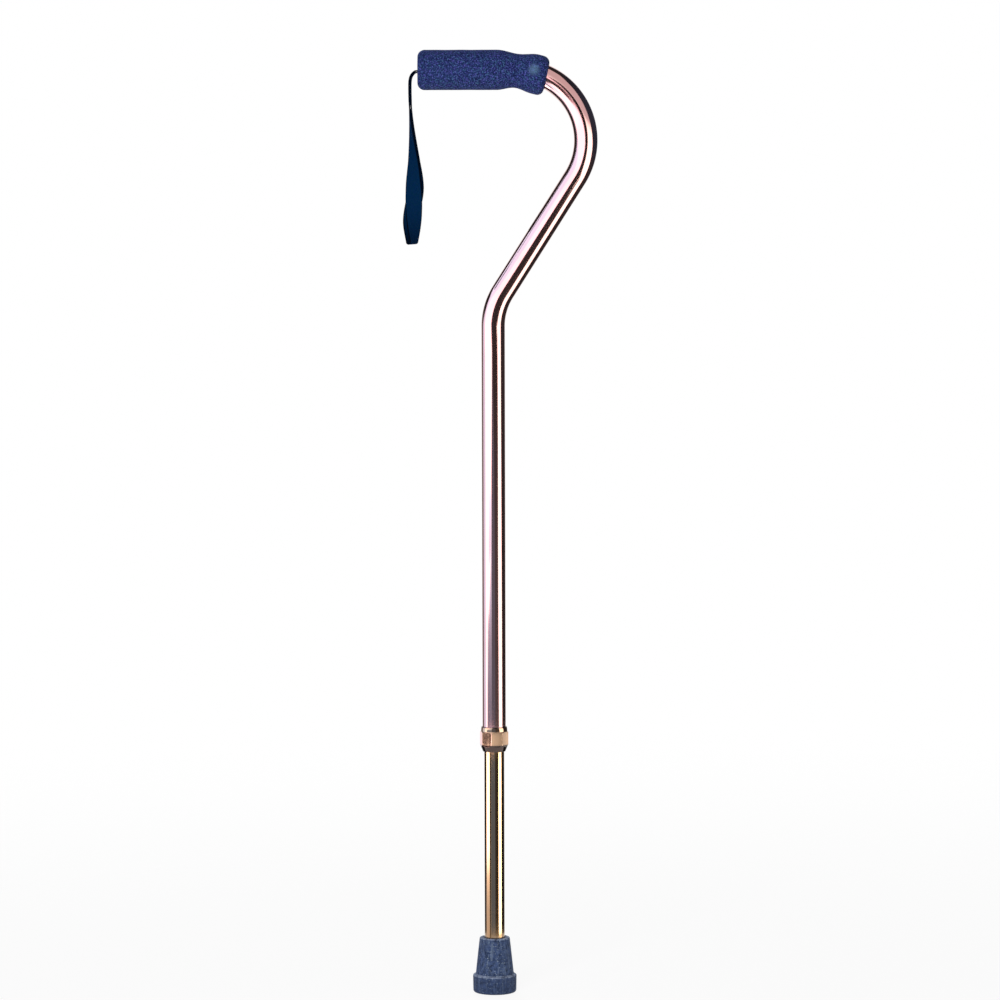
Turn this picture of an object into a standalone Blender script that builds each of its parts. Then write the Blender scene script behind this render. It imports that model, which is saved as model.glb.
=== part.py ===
"""Offset walking cane: crook handle tube, foam grip, wrist strap, lock nut, sliding leg and rubber tip.

The origin is the middle of the tip's sole on the floor. +Z runs up the shaft, the crook bulges
to +X, and the grip and the strap reach to -X. All sizes are in metres.
"""
import math

import bmesh
import bpy
from mathutils import Matrix, Vector
from mathutils.geometry import interpolate_bezier

# Fits that several pieces share
gap = 0.0003                              # between pieces that touch or slide
cut_past = 0.004                          # how far a cutter runs past the face it opens

# The whole cane, with its button in the fifth hole up
cane_height = 0.8894                      # sole to the top of the grip
nut_floor_height = 0.2302                 # floor to the bottom of the lock nut

# Handle tube, a 7/8 inch aluminium tube bent twice
handle_tube_radius = 0.0111
handle_tube_wall = 0.00115
crook_radius = 0.0656                     # centreline of the crook
crook_reach = 0.0869                      # furthest the crook's centreline gets from the shaft's axis
lean_angle = math.radians(32.4)           # the leaning run, off the vertical
shaft_bend_radius = 0.0604                # centreline of the bend back into the shaft
bend_step = math.radians(5.5)             # largest turn between two sections of a bend

# Foam grip; the places along it are measured back from its lip, where the tube leaves it
grip_radius = 0.0187
grip_neck_radius = 0.0159
grip_lip_radius = 0.0187
grip_reach = 0.0700                       # closed end to the shaft's axis
grip_round_crook = 0.030                  # how far the lip lies round the start of the crook
grip_narrowing = 0.047                    # lip to where the palm part starts to narrow
grip_neck = 0.0285                        # lip to the neck
grip_lip_length = 0.0100                  # lip to where the swelling behind it is full
grip_end_wall = 0.004
grip_end_round = 0.0065
grip_lip_round = 0.0060

# Plug in the end of the handle tube
plug_flange = 0.0018
plug_depth = 0.010
plug_edge = 0.0004

# Wrist strap, nylon webbing folded into one loop
strap_width = 0.0156
strap_thickness = 0.0014
strap_slack = 0.0005                      # room on each side of the webbing in its slots
strap_layer_gap = 0.0004                  # between the two legs where they lie together
strap_slot_drop = 0.0015                  # middle of the slots below the grip's axis
strap_stand_off = 0.0020                  # grip's end face to the line that the strap swings about
strap_drop = 0.161                        # that line to the bottom of the loop
strap_exit_angle = math.radians(40)       # how far below level the loop sets out
strap_bend_drop = 0.0150                  # height of the bend from there to hanging
strap_hang_out = 0.0051                   # how far outside the swing line it hangs below the bend
strap_rest_out = 0.0009                   # the same halfway down
strap_low_out = 0.0036                    # the same near the bottom
strap_total_twist = math.radians(330)     # turn that the webbing would make by strap_twist_end
strap_belly = 0.0037                      # half the opening of the loop where it is widest
strap_fold_radius = 0.0019                # middle line of the fold at the bottom
strap_toggle_radius = 0.0015

# Where the strap changes on its way down, as parts of its drop
strap_twist_start = 0.15
strap_twist_end = 1.90                    # past the bottom, so that it is still turning there
strap_rest = 0.64
strap_low_start = 0.66
strap_low_end = 0.90
strap_parting = 0.50                      # where the two legs start to part
strap_parted = 0.75
strap_closing = 0.82                      # where they start to close towards the fold

# Lock nut, an eight-sided collar screwed on the end of the handle tube
nut_length = 0.0235
nut_across_flats = 0.0254
nut_thread_length = 0.0100
nut_shoulder = 0.0050
nut_chamfer = 0.0068
nut_top_wall = 0.0009
nut_mouth_wall = 0.0010
nut_lip = 0.0020
nut_cone_depth = 0.0035
nut_clocking = math.radians(34)           # angle of one corner from +X
nut_sides = 8
bush_cone_step = 0.00065                  # how much the bush narrows to its nose
bush_slit = 0.0015

# Leg, a 3/4 inch aluminium tube
leg_tube_radius = 0.009525
leg_tube_wall = 0.00125
leg_tube_edge = 0.0003
leg_above_button = 0.030

# Height setting
hole_pitch = 0.0254
holes_above = 5
holes_below = 4
lowest_hole_above_end = 0.060             # end of the handle tube to its lowest hole
button_radius = 0.0030
button_hole_radius = 0.0034
button_stand_out = 0.0022
button_dome = 0.0016
button_flange_radius = 0.0043
button_flange = 0.0010
spring_width = 0.0080
spring_thickness = 0.0005
spring_drop = 0.036                       # button to the fold of the leaf
spring_above_button = 0.0065
spring_fold_radius = 0.0012
spring_fold_turn = math.radians(162)

# Rubber tip with its steel washer
tip_height = 0.0524
tip_floor = 0.0090
tip_mouth_radius = 0.0143
tip_waist_radius = 0.0152
tip_waist_height = 0.0434
tip_shoulder_radius = 0.0180
tip_flange_radius = 0.0206
tip_flange_top = 0.0166
tip_sole_radius = 0.0180
tip_edge_round = 0.0024
tip_rim = 0.0012
tread_depth = 0.0012
tread_width = 0.0020
tread_pitch = 0.0042
tread_count = 3
washer_thickness = 0.0016
washer_edge = 0.0002

round_steps = 40                          # facets round a turned piece
tube_facets = 10                          # bevel resolution of the bent tube, 24 facets
grip_facets = 11

# Sizes and places that follow from the ones above
grip_axis_z = cane_height - grip_radius
crook_start_x = crook_reach - crook_radius
grip_end_x = -grip_reach
plug_face_x = grip_end_x + grip_end_wall + gap
handle_tube_start_x = plug_face_x + plug_flange + gap
handle_tube_bore = handle_tube_radius - handle_tube_wall
strap_pack = 2 * strap_thickness + strap_layer_gap
strap_slot_height = strap_pack + 2 * strap_slack
strap_slot_width = strap_width + 2 * strap_slack
strap_z = grip_axis_z - strap_slot_drop
pivot = Vector((grip_end_x - strap_stand_off, 0, strap_z))
strap_eye_radius = strap_toggle_radius + gap + strap_thickness
toggle_x = handle_tube_start_x + plug_depth + gap + strap_eye_radius
nut_top_z = nut_floor_height + nut_length
handle_tube_end_z = nut_top_z - nut_thread_length
nut_bore = handle_tube_radius + gap
nut_mouth_bore = leg_tube_radius + gap
nut_corner_radius = nut_across_flats / 2 / math.cos(math.pi / nut_sides)
lowest_hole_z = handle_tube_end_z + lowest_hole_above_end
button_z = lowest_hole_z + holes_below * hole_pitch
leg_tube_bore = leg_tube_radius - leg_tube_wall
tip_bore = leg_tube_radius + gap
leg_tube_bottom_z = tip_floor + gap + washer_thickness + gap
leg_tube_top_z = button_z + leg_above_button


# Scene and materials

for old_object in list(bpy.data.objects):
    bpy.data.objects.remove(old_object, do_unlink=True)

cane = bpy.data.collections.new("offset_cane")
cutters = bpy.data.collections.new("offset_cane_cutters")
bpy.context.scene.collection.children.link(cane)
bpy.context.scene.collection.children.link(cutters)


def linear(hex_colour):
    """Turn an sRGB hex colour into the linear values that a shader takes."""
    channels = [int(hex_colour[i:i + 2], 16) / 255 for i in (1, 3, 5)]
    return [c / 12.92 if c <= 0.04045 else ((c + 0.055) / 1.055) ** 2.4 for c in channels] + [1.0]


def finish(name, hex_colour, roughness, metallic=0.0):
    """A plain material with the piece's own colour."""
    material = bpy.data.materials.new(name)
    material.use_nodes = True
    shader = material.node_tree.nodes["Principled BSDF"]
    shader.inputs["Base Color"].default_value = linear(hex_colour)
    shader.inputs["Roughness"].default_value = roughness
    shader.inputs["Metallic"].default_value = metallic
    material.diffuse_color = linear(hex_colour)
    return material


rose_anodised = finish("rose_anodised_aluminium", "#D9A6A0", 0.22, 1.0)
bronze_anodised = finish("bronze_anodised_aluminium", "#B08A5E", 0.24, 1.0)
nut_anodised = finish("gold_anodised_aluminium", "#C79A7C", 0.30, 1.0)
navy_foam = finish("navy_nitrile_foam", "#2E3580", 0.85)
navy_webbing = finish("navy_nylon_webbing", "#06285C", 0.80)
grey_rubber = finish("blue_grey_rubber", "#434E6E", 0.75)
black_nylon = finish("black_nylon", "#202124", 0.50)
white_acetal = finish("white_acetal", "#E4E2DA", 0.45)
zinc_steel = finish("zinc_plated_steel", "#B8BABC", 0.30, 1.0)
spring_steel = finish("spring_steel", "#7E8085", 0.35, 1.0)


# Modelling helpers

def place(name, mesh, material=None, collection=cane):
    """Put a mesh in the scene as a named object."""
    made = bpy.data.objects.new(name, mesh)
    collection.objects.link(made)
    if material is None:
        made.hide_render = True
        made.display_type = "WIRE"
    else:
        mesh.materials.append(material)
    return made


def mesh_from(bm, name, crease_angle=math.radians(30)):
    """Close a bmesh into a mesh that is smooth except at its sharp edges."""
    mesh = bpy.data.meshes.new(name)
    bm.to_mesh(mesh)
    bm.free()
    mesh.shade_smooth()
    mesh.set_sharp_from_angle(angle=crease_angle)
    return mesh


def turned(name, profile, material, closed=False, steps=round_steps):
    """Turn a profile of (radius, height) points about Z; closed profiles make a ring."""
    bm = bmesh.new()
    points = [bm.verts.new((radius, 0, height)) for radius, height in profile]
    for first, second in zip(points, points[1:]):
        bm.edges.new((first, second))
    if closed:
        bm.edges.new((points[-1], points[0]))
    made = place(name, mesh_from(bm, name), material)
    screw = made.modifiers.new("turn", "SCREW")
    screw.steps = steps
    screw.render_steps = steps
    screw.use_merge_vertices = True
    screw.merge_threshold = 0.00001
    return made


def curve_mesh(name, points, radius, facets, scales=None, crease_angle=math.radians(30)):
    """A round bar swept along points, as a closed mesh; scales swell or narrow it point by point."""
    curve = bpy.data.curves.new(name, "CURVE")
    curve.dimensions = "3D"
    curve.bevel_depth = radius
    curve.bevel_resolution = facets
    curve.use_fill_caps = True
    spline = curve.splines.new("POLY")
    spline.points.add(len(points) - 1)
    for i, point in enumerate(points):
        spline.points[i].co = (*point, 1)
        spline.points[i].radius = scales[i] if scales else 1.0
    guide = bpy.data.objects.new(name + "_sweep", curve)
    cutters.objects.link(guide)
    graph = bpy.context.evaluated_depsgraph_get()
    mesh = bpy.data.meshes.new_from_object(guide.evaluated_get(graph))
    bpy.data.objects.remove(guide)
    bm = bmesh.new()
    bm.from_mesh(mesh)
    bmesh.ops.remove_doubles(bm, verts=bm.verts, dist=0.00001)
    bpy.data.meshes.remove(mesh)
    return mesh_from(bm, name, crease_angle)


def cut(target, name, mesh, operation="DIFFERENCE"):
    """Cut a mesh out of a piece, or keep only what lies inside it."""
    cutter = place(name, mesh, collection=cutters)
    boolean = target.modifiers.new(name, "BOOLEAN")
    boolean.object = cutter
    boolean.operation = operation
    boolean.solver = "EXACT"
    return cutter


def box_mesh(name, low, high):
    """A box between two corners."""
    low, high = Vector(low), Vector(high)
    bm = bmesh.new()
    bmesh.ops.create_cube(bm, size=1.0)
    bmesh.ops.scale(bm, vec=high - low, verts=bm.verts)
    bmesh.ops.translate(bm, vec=(low + high) / 2, verts=bm.verts)
    return mesh_from(bm, name)


def rods_mesh(name, radius, starts, direction, length, segments=24):
    """Round rods of one size, one from each start point, all in one direction."""
    turn = Vector((0, 0, 1)).rotation_difference(Vector(direction)).to_matrix().to_4x4()
    bm = bmesh.new()
    for start in starts:
        middle = Vector(start) + Vector(direction) * length / 2
        bmesh.ops.create_cone(bm, cap_ends=True, segments=segments, radius1=radius, radius2=radius,
                              depth=length, matrix=Matrix.Translation(middle) @ turn)
    return mesh_from(bm, name)


def ease(value, start, end):
    """Rise from 0 at start to 1 at end, level at both."""
    t = min(max((value - start) / (end - start), 0.0), 1.0)
    return t * t * (3 - 2 * t)


# Centreline of the handle tube

lean_end = Vector((crook_start_x + crook_radius * math.cos(lean_angle), 0,
                   grip_axis_z - crook_radius * (1 + math.sin(lean_angle))))
shaft_bend_top_x = shaft_bend_radius * (1 - math.cos(lean_angle))
lean_run = (lean_end.x - shaft_bend_top_x) / math.sin(lean_angle)
shaft_bend_top_z = lean_end.z - lean_run * math.cos(lean_angle)
shaft_bend_end_z = shaft_bend_top_z - shaft_bend_radius * math.sin(lean_angle)
crook_turn = math.pi / 2 + lean_angle


def crook_point(turned_by):
    """Point of the crook's centreline after a turn from level."""
    return Vector((crook_start_x + crook_radius * math.sin(turned_by), 0,
                   grip_axis_z - crook_radius * (1 - math.cos(turned_by))))


def shaft_bend_point(still_to_turn):
    """Point of the lower bend's centreline with this much turn left before it is upright."""
    return Vector((shaft_bend_radius * (1 - math.cos(still_to_turn)), 0,
                   shaft_bend_end_z + shaft_bend_radius * math.sin(still_to_turn)))


def tube_path(start_x, end_z):
    """Centreline from a point in the grip, round both bends and down the shaft."""
    crook_steps = math.ceil(crook_turn / bend_step)
    shaft_steps = math.ceil(lean_angle / bend_step)
    path = [Vector((start_x, 0, grip_axis_z))]
    path += [crook_point(crook_turn * i / crook_steps) for i in range(crook_steps + 1)]
    path += [shaft_bend_point(lean_angle * (1 - i / shaft_steps)) for i in range(shaft_steps + 1)]
    path.append(Vector((0, 0, end_z)))
    return path


# Centreline of the grip: level, then one shallow arc that meets the tube's centreline at the lip

grip_lip_centre = crook_point(grip_round_crook / crook_radius)
grip_drop = grip_axis_z - grip_lip_centre.z
grip_arc_run = math.sqrt(grip_narrowing ** 2 - grip_drop ** 2)
grip_arc_radius = (grip_arc_run ** 2 + grip_drop ** 2) / (2 * grip_drop)
grip_arc_start_x = grip_lip_centre.x - grip_arc_run
grip_arc_turn = math.asin(grip_arc_run / grip_arc_radius)
grip_level_length = grip_arc_start_x - grip_end_x
grip_length = grip_level_length + grip_arc_radius * grip_arc_turn


def grip_point(distance):
    """Point of the grip's centreline at a distance from its closed end."""
    turn = max(distance - grip_level_length, 0.0) / grip_arc_radius
    level = min(distance, grip_level_length)
    return Vector((grip_end_x + level + grip_arc_radius * math.sin(turn), 0,
                   grip_axis_z - grip_arc_radius * (1 - math.cos(turn))))


# Handle tube with its row of setting holes at the back

def make_handle_tube():
    outside = tube_path(handle_tube_start_x, handle_tube_end_z)
    inside = tube_path(handle_tube_start_x - cut_past, handle_tube_end_z - cut_past)
    tube = place("handle_tube", curve_mesh("handle_tube", outside, handle_tube_radius, tube_facets),
                 rose_anodised)
    cut(tube, "handle_tube_bore", curve_mesh("handle_tube_bore", inside, handle_tube_bore, tube_facets))
    heights = [lowest_hole_z + i * hole_pitch for i in range(holes_below + holes_above + 1)]
    starts = [(0, handle_tube_bore / 2, height) for height in heights]
    cut(tube, "setting_holes", rods_mesh("setting_holes", button_hole_radius, starts, (0, 1, 0),
                                         handle_tube_radius))


# Foam grip, closed at its free end, with a lip where the tube leaves it

def grip_outline(distance):
    """Radius of the foam at a distance from its closed end."""
    to_lip = grip_length - distance
    narrowed = ease(-to_lip, -grip_narrowing, -grip_neck)
    swollen = ease(-to_lip, -grip_neck, -grip_lip_length)
    body = grip_radius + (grip_neck_radius - grip_radius) * narrowed
    body += (grip_lip_radius - grip_neck_radius) * swollen
    rounding = 0.0
    for edge, radius in ((distance, grip_end_round), (to_lip, grip_lip_round)):
        if edge < radius:
            rounding += radius - math.sqrt(max(radius ** 2 - (radius - edge) ** 2, 0.0))
    return body - rounding


def make_foam_grip():
    end_steps = 5
    swell_steps = 12
    places = [grip_end_round * (1 - math.cos(math.pi / 2 * i / end_steps)) for i in range(end_steps + 1)]
    lip_start = grip_length - grip_lip_round
    places += [grip_level_length + (lip_start - grip_level_length) * i / swell_steps
               for i in range(swell_steps + 1)]
    places += [lip_start + grip_lip_round * math.sin(math.pi / 2 * i / end_steps)
               for i in range(1, end_steps + 1)]
    points = [grip_point(distance) for distance in places]
    scales = [grip_outline(distance) / grip_radius for distance in places]
    grip = place("foam_grip", curve_mesh("foam_grip", points, grip_radius, grip_facets, scales), navy_foam)
    bore_path = tube_path(plug_face_x - gap, handle_tube_end_z)
    cut(grip, "grip_bore", curve_mesh("grip_bore", bore_path, handle_tube_radius + gap, tube_facets))
    half = strap_slot_width / 2
    cut(grip, "grip_strap_slot", box_mesh(
        "grip_strap_slot",
        (grip_end_x - cut_past, -half, strap_z - strap_slot_height / 2),
        (plug_face_x + gap, half, strap_z + strap_slot_height / 2)))


# Plug that closes the tube and keeps the strap's toggle inside

def make_end_plug():
    body_radius = handle_tube_bore - gap
    length = plug_flange + gap + plug_depth
    profile = [
        (0, length), (handle_tube_radius - plug_edge, length), (handle_tube_radius, length - plug_edge),
        (handle_tube_radius, length - plug_flange), (body_radius, length - plug_flange),
        (body_radius, plug_edge), (body_radius - plug_edge, 0), (0, 0)]
    plug = turned("handle_end_plug", profile, black_nylon)
    plug.rotation_euler = (0, -math.pi / 2, 0)
    plug.location = (plug_face_x + length, 0, grip_axis_z)
    half = strap_slot_width / 2
    cut(plug, "plug_strap_slot", box_mesh(
        "plug_strap_slot",
        (plug_face_x - cut_past, -half, strap_z - strap_slot_height / 2),
        (plug_face_x + length + cut_past, half, strap_z + strap_slot_height / 2)))


def make_strap_toggle():
    half_length = strap_width / 2
    pin = place("strap_toggle", rods_mesh("strap_toggle", strap_toggle_radius, [(0, -half_length, 0)],
                                          (0, 1, 0), strap_width), zinc_steel)
    pin.location = (toggle_x, 0, strap_z)


# Wrist strap: the end held in the plug, and the loop that hangs and swings

def make_strap_anchor():
    """Side view of the doubled webbing, from its rounded nose to the eye round the toggle."""
    half = strap_pack / 2
    nose_steps = 8
    eye_steps = 20
    join = math.asin(half / strap_eye_radius)
    outline = [(pivot.x - half * math.sin(math.pi * i / nose_steps),
                -half * math.cos(math.pi * i / nose_steps)) for i in range(nose_steps + 1)]
    outline += [(toggle_x - strap_eye_radius * math.cos(join + (2 * math.pi - 2 * join) * i / eye_steps),
                 strap_eye_radius * math.sin(join + (2 * math.pi - 2 * join) * i / eye_steps))
                for i in range(eye_steps + 1)]
    eye_bore = strap_toggle_radius + gap
    hole = [(toggle_x + eye_bore * math.cos(2 * math.pi * i / eye_steps),
             eye_bore * math.sin(2 * math.pi * i / eye_steps)) for i in range(eye_steps)]
    curve = bpy.data.curves.new("strap_anchor", "CURVE")
    curve.dimensions = "2D"
    curve.fill_mode = "BOTH"
    curve.extrude = strap_width / 2
    for loop in (outline, hole):
        spline = curve.splines.new("POLY")
        spline.points.add(len(loop) - 1)
        spline.use_cyclic_u = True
        for point, (x, y) in zip(spline.points, loop):
            point.co = (x, y, 0, 1)
    curve.materials.append(navy_webbing)
    anchor = bpy.data.objects.new("strap_anchor", curve)
    cane.objects.link(anchor)
    anchor.rotation_euler = (math.pi / 2, 0, 0)
    anchor.location = (0, 0, strap_z)


def strap_twist(drop):
    """Turn of the webbing about the vertical at a depth below the swing line."""
    return strap_total_twist * ease(drop, strap_twist_start * strap_drop, strap_twist_end * strap_drop)


def strap_out(drop):
    """How far outside the swing line the loop hangs at a depth below its bend."""
    inwards = ease(drop, strap_bend_drop, strap_rest * strap_drop)
    outwards = ease(drop, strap_low_start * strap_drop, strap_low_end * strap_drop)
    return (strap_hang_out + (strap_rest_out - strap_hang_out) * inwards
            + (strap_low_out - strap_rest_out) * outwards)


def strap_half_opening(drop):
    """Half the distance between the middles of the two legs at a depth."""
    together = (strap_thickness + strap_layer_gap) / 2
    opened = ease(drop, strap_parting * strap_drop, strap_parted * strap_drop)
    closed = ease(drop, strap_closing * strap_drop, strap_drop - strap_fold_radius)
    return together + (strap_belly - together) * opened - (strap_belly - strap_fold_radius) * closed


def strap_points():
    """Middle line of the webbing down one leg, round the fold and up the other, with its width."""
    bend_steps = 7
    leg_steps = 24
    fold_steps = 6
    set_out = Vector((-math.cos(strap_exit_angle), 0, -math.sin(strap_exit_angle)))
    start = pivot + set_out * (strap_pack / 2 + gap)
    bend_end = pivot + Vector((-strap_hang_out, 0, -strap_bend_drop))
    reach = strap_bend_drop / 3
    middles = interpolate_bezier(start, start + set_out * reach, bend_end + Vector((0, 0, reach)),
                                 bend_end, bend_steps + 1)
    fold_drop = strap_drop - strap_fold_radius - strap_thickness / 2
    for i in range(1, leg_steps + 1):
        drop = strap_bend_drop + (fold_drop - strap_bend_drop) * i / leg_steps
        middles.append(pivot + Vector((-strap_out(drop), 0, -drop)))
    outer = []
    inner = []
    for i, middle in enumerate(middles):
        along = (middles[min(i + 1, len(middles) - 1)] - middles[max(i - 1, 0)]).normalized()
        drop = pivot.z - middle.z
        twist = strap_twist(drop)
        width = Vector((-math.sin(twist), math.cos(twist), 0))
        inwards = along.cross(width).normalized()
        half = strap_half_opening(drop)
        outer.append((middle - inwards * half, width))
        inner.append((middle + inwards * half, width))
    fold = []
    for i in range(1, fold_steps):
        turn = math.pi * i / fold_steps
        around = -inwards * math.cos(turn) + Vector((0, 0, -math.sin(turn)))
        fold.append((middles[-1] + around * strap_fold_radius, width))
    return outer + fold + inner[::-1]


def make_wrist_strap():
    rows = strap_points()
    bm = bmesh.new()
    bmesh.ops.create_grid(bm, x_segments=2, y_segments=len(rows) - 1, size=0.5)
    bm.verts.ensure_lookup_table()
    for i, vertex in enumerate(sorted(bm.verts, key=lambda v: (round(v.co.y, 4), v.co.x))):
        middle, width = rows[i // 3]
        vertex.co = middle + width * strap_width * (i % 3 - 1) / 2 - pivot
    strap = place("wrist_strap", mesh_from(bm, "wrist_strap", math.radians(60)), navy_webbing)
    thickness = strap.modifiers.new("webbing", "SOLIDIFY")
    thickness.thickness = strap_thickness
    thickness.offset = 0
    thickness.use_even_offset = True
    strap.location = pivot


# Lock nut and the split bush that it squeezes on the leg

def make_lock_nut():
    cone_top = nut_lip + nut_cone_depth
    top_radius = nut_bore + nut_top_wall
    mouth_radius = nut_mouth_bore + nut_mouth_wall
    shoulder_steps = 6
    shoulder = [(top_radius + (nut_corner_radius - top_radius) * math.sin(math.pi / 2 * i / shoulder_steps),
                 nut_length - nut_shoulder * (1 - math.cos(math.pi / 2 * i / shoulder_steps)))
                for i in range(shoulder_steps + 1)]
    profile = shoulder + [
        (nut_corner_radius, nut_chamfer), (mouth_radius, 0), (nut_mouth_bore, 0), (nut_mouth_bore, nut_lip),
        (nut_bore - bush_cone_step, nut_lip), (nut_bore, cone_top), (nut_bore, nut_length)]
    nut = turned("lock_nut", profile, nut_anodised, closed=True, steps=48)
    nut.location = (0, 0, nut_floor_height)
    bm = bmesh.new()
    bmesh.ops.create_cone(bm, cap_ends=True, segments=nut_sides, radius1=nut_corner_radius,
                          radius2=nut_corner_radius, depth=nut_length + 2 * cut_past)
    bmesh.ops.rotate(bm, matrix=Matrix.Rotation(nut_clocking, 3, "Z"), verts=bm.verts)
    bmesh.ops.translate(bm, vec=(0, 0, nut_length / 2), verts=bm.verts)
    octagon = cut(nut, "nut_flats", mesh_from(bm, "nut_flats"), "INTERSECT")
    octagon.location = nut.location


def make_clamp_bush():
    nose_z = nut_floor_height + nut_lip + gap
    cone_top_z = nut_floor_height + nut_lip + nut_cone_depth
    top_z = handle_tube_end_z - gap
    outer = nut_bore - gap
    nose = outer - bush_cone_step
    profile = [(outer, top_z), (outer, cone_top_z), (nose, nose_z),
               (leg_tube_radius + gap, nose_z), (leg_tube_radius + gap, top_z)]
    profile = [(radius, height - nose_z) for radius, height in profile]
    bush = turned("clamp_bush", profile, white_acetal, closed=True)
    bush.location = (0, 0, nose_z)
    cut(bush, "bush_slit_cut", box_mesh(
        "bush_slit_cut", (0, -bush_slit / 2, nose_z - cut_past),
        (outer + cut_past, bush_slit / 2, top_z + cut_past)))


# Leg tube, snap button and its leaf spring

def make_leg_tube():
    length = leg_tube_top_z - leg_tube_bottom_z
    profile = [(leg_tube_radius - leg_tube_edge, length), (leg_tube_radius, length - leg_tube_edge),
               (leg_tube_radius, 0), (leg_tube_bore, 0), (leg_tube_bore, length)]
    tube = turned("leg_tube", profile, bronze_anodised, closed=True)
    tube.location = (0, 0, leg_tube_bottom_z)
    cut(tube, "leg_button_hole", rods_mesh("leg_button_hole", button_hole_radius,
                                           [(0, leg_tube_bore / 2, button_z)], (0, 1, 0),
                                           leg_tube_radius))


def flange_seat():
    """How far from the axis the button's flange meets the round inside of the leg tube."""
    inside = leg_tube_bore * math.cos(math.pi / round_steps)
    return math.sqrt(inside ** 2 - button_flange_radius ** 2) - gap


def make_snap_button():
    seat = flange_seat()
    tip = handle_tube_radius + button_stand_out
    dome_steps = 5
    dome = [(button_radius * math.sin(math.pi / 2 * i / dome_steps),
             tip - button_dome * (1 - math.cos(math.pi / 2 * i / dome_steps)))
            for i in range(dome_steps + 1)]
    profile = dome + [(button_radius, seat), (button_flange_radius, seat),
                      (button_flange_radius, seat - button_flange), (0, seat - button_flange)]
    button = turned("snap_button", profile, zinc_steel, steps=24)
    button.rotation_euler = (-math.pi / 2, 0, 0)
    button.location = (0, 0, button_z)


def make_button_spring():
    """A leaf bent into a V, one arm on the front wall and the other behind the button."""
    wall = math.sqrt((leg_tube_bore - gap) ** 2 - (spring_width / 2) ** 2)
    front = -wall + spring_thickness / 2
    back = flange_seat() - button_flange - gap - spring_thickness / 2
    fold_steps = 6
    profile = [(front, spring_above_button), (front, -spring_drop + spring_fold_radius)]
    fold_centre = (front + spring_fold_radius, -spring_drop + spring_fold_radius)
    profile += [(fold_centre[0] - spring_fold_radius * math.cos(spring_fold_turn * i / fold_steps),
                 fold_centre[1] - spring_fold_radius * math.sin(spring_fold_turn * i / fold_steps))
                for i in range(1, fold_steps + 1)]
    profile += [(back, -button_flange_radius), (back, spring_above_button)]
    bm = bmesh.new()
    line = [bm.verts.new((-spring_width / 2, y, z)) for y, z in profile]
    edges = [bm.edges.new(pair) for pair in zip(line, line[1:])]
    swept = bmesh.ops.extrude_edge_only(bm, edges=edges)["geom"]
    across = [item for item in swept if isinstance(item, bmesh.types.BMVert)]
    bmesh.ops.translate(bm, vec=(spring_width, 0, 0), verts=across)
    spring = place("button_spring", mesh_from(bm, "button_spring"), spring_steel)
    leaf = spring.modifiers.new("leaf", "SOLIDIFY")
    leaf.thickness = spring_thickness
    leaf.offset = 0
    leaf.use_even_offset = True
    spring.location = (0, 0, button_z)


# Rubber tip with ring treads, and the washer that keeps the tube from punching through

def make_rubber_tip():
    edge_steps = 4
    profile = [(0, tip_floor), (tip_bore, tip_floor), (tip_bore, tip_height - tip_rim),
               (tip_bore + tip_rim / 2, tip_height), (tip_mouth_radius - tip_rim, tip_height)]
    profile += [(tip_mouth_radius, tip_height - tip_rim), (tip_waist_radius, tip_waist_height),
                (tip_shoulder_radius, tip_flange_top + tip_rim),
                (tip_flange_radius - tip_rim, tip_flange_top), (tip_flange_radius, tip_flange_top - tip_rim)]
    for i in range(edge_steps + 1):
        turn = math.pi / 2 * i / edge_steps
        profile.append((tip_sole_radius + tip_edge_round * math.cos(turn),
                        tip_edge_round * (1 - math.sin(turn))))
    for i in range(tread_count):
        outer = tip_sole_radius - tread_width - i * tread_pitch
        inner = outer - tread_width
        profile += [(outer, 0), (outer, tread_depth), (inner, tread_depth), (inner, 0)]
    profile.append((0, 0))
    turned("rubber_tip", profile, grey_rubber, steps=48)


def make_tip_washer():
    radius = tip_bore - gap
    profile = [(0, washer_thickness), (radius - washer_edge, washer_thickness),
               (radius, washer_thickness - washer_edge), (radius, washer_edge),
               (radius - washer_edge, 0), (0, 0)]
    washer = turned("tip_washer", profile, zinc_steel)
    washer.location = (0, 0, tip_floor + gap)


make_handle_tube()
make_foam_grip()
make_end_plug()
make_strap_toggle()
make_strap_anchor()
make_wrist_strap()
make_lock_nut()
make_clamp_bush()
make_leg_tube()
make_snap_button()
make_button_spring()
make_rubber_tip()
make_tip_washer()
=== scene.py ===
# %% [markdown]
# # An offset walking cane
# The cane is a bent aluminium tube with a foam grip and a wrist strap. A thinner leg slides in
# the tube's lower end, a spring button sets its height, a lock nut takes up the play, and a rubber
# tip stands on the floor. The solids come from CAD. This lesson models each piece that shows once
# more, with the fine shape and the finish of the real one, and lets it move with the CAD's bodies.

# %% Load the solids that everything is fitted to
import math

import bmesh
import bpy
from mathutils import Matrix, Vector, noise
from mathutils.geometry import interpolate_bezier


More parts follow.
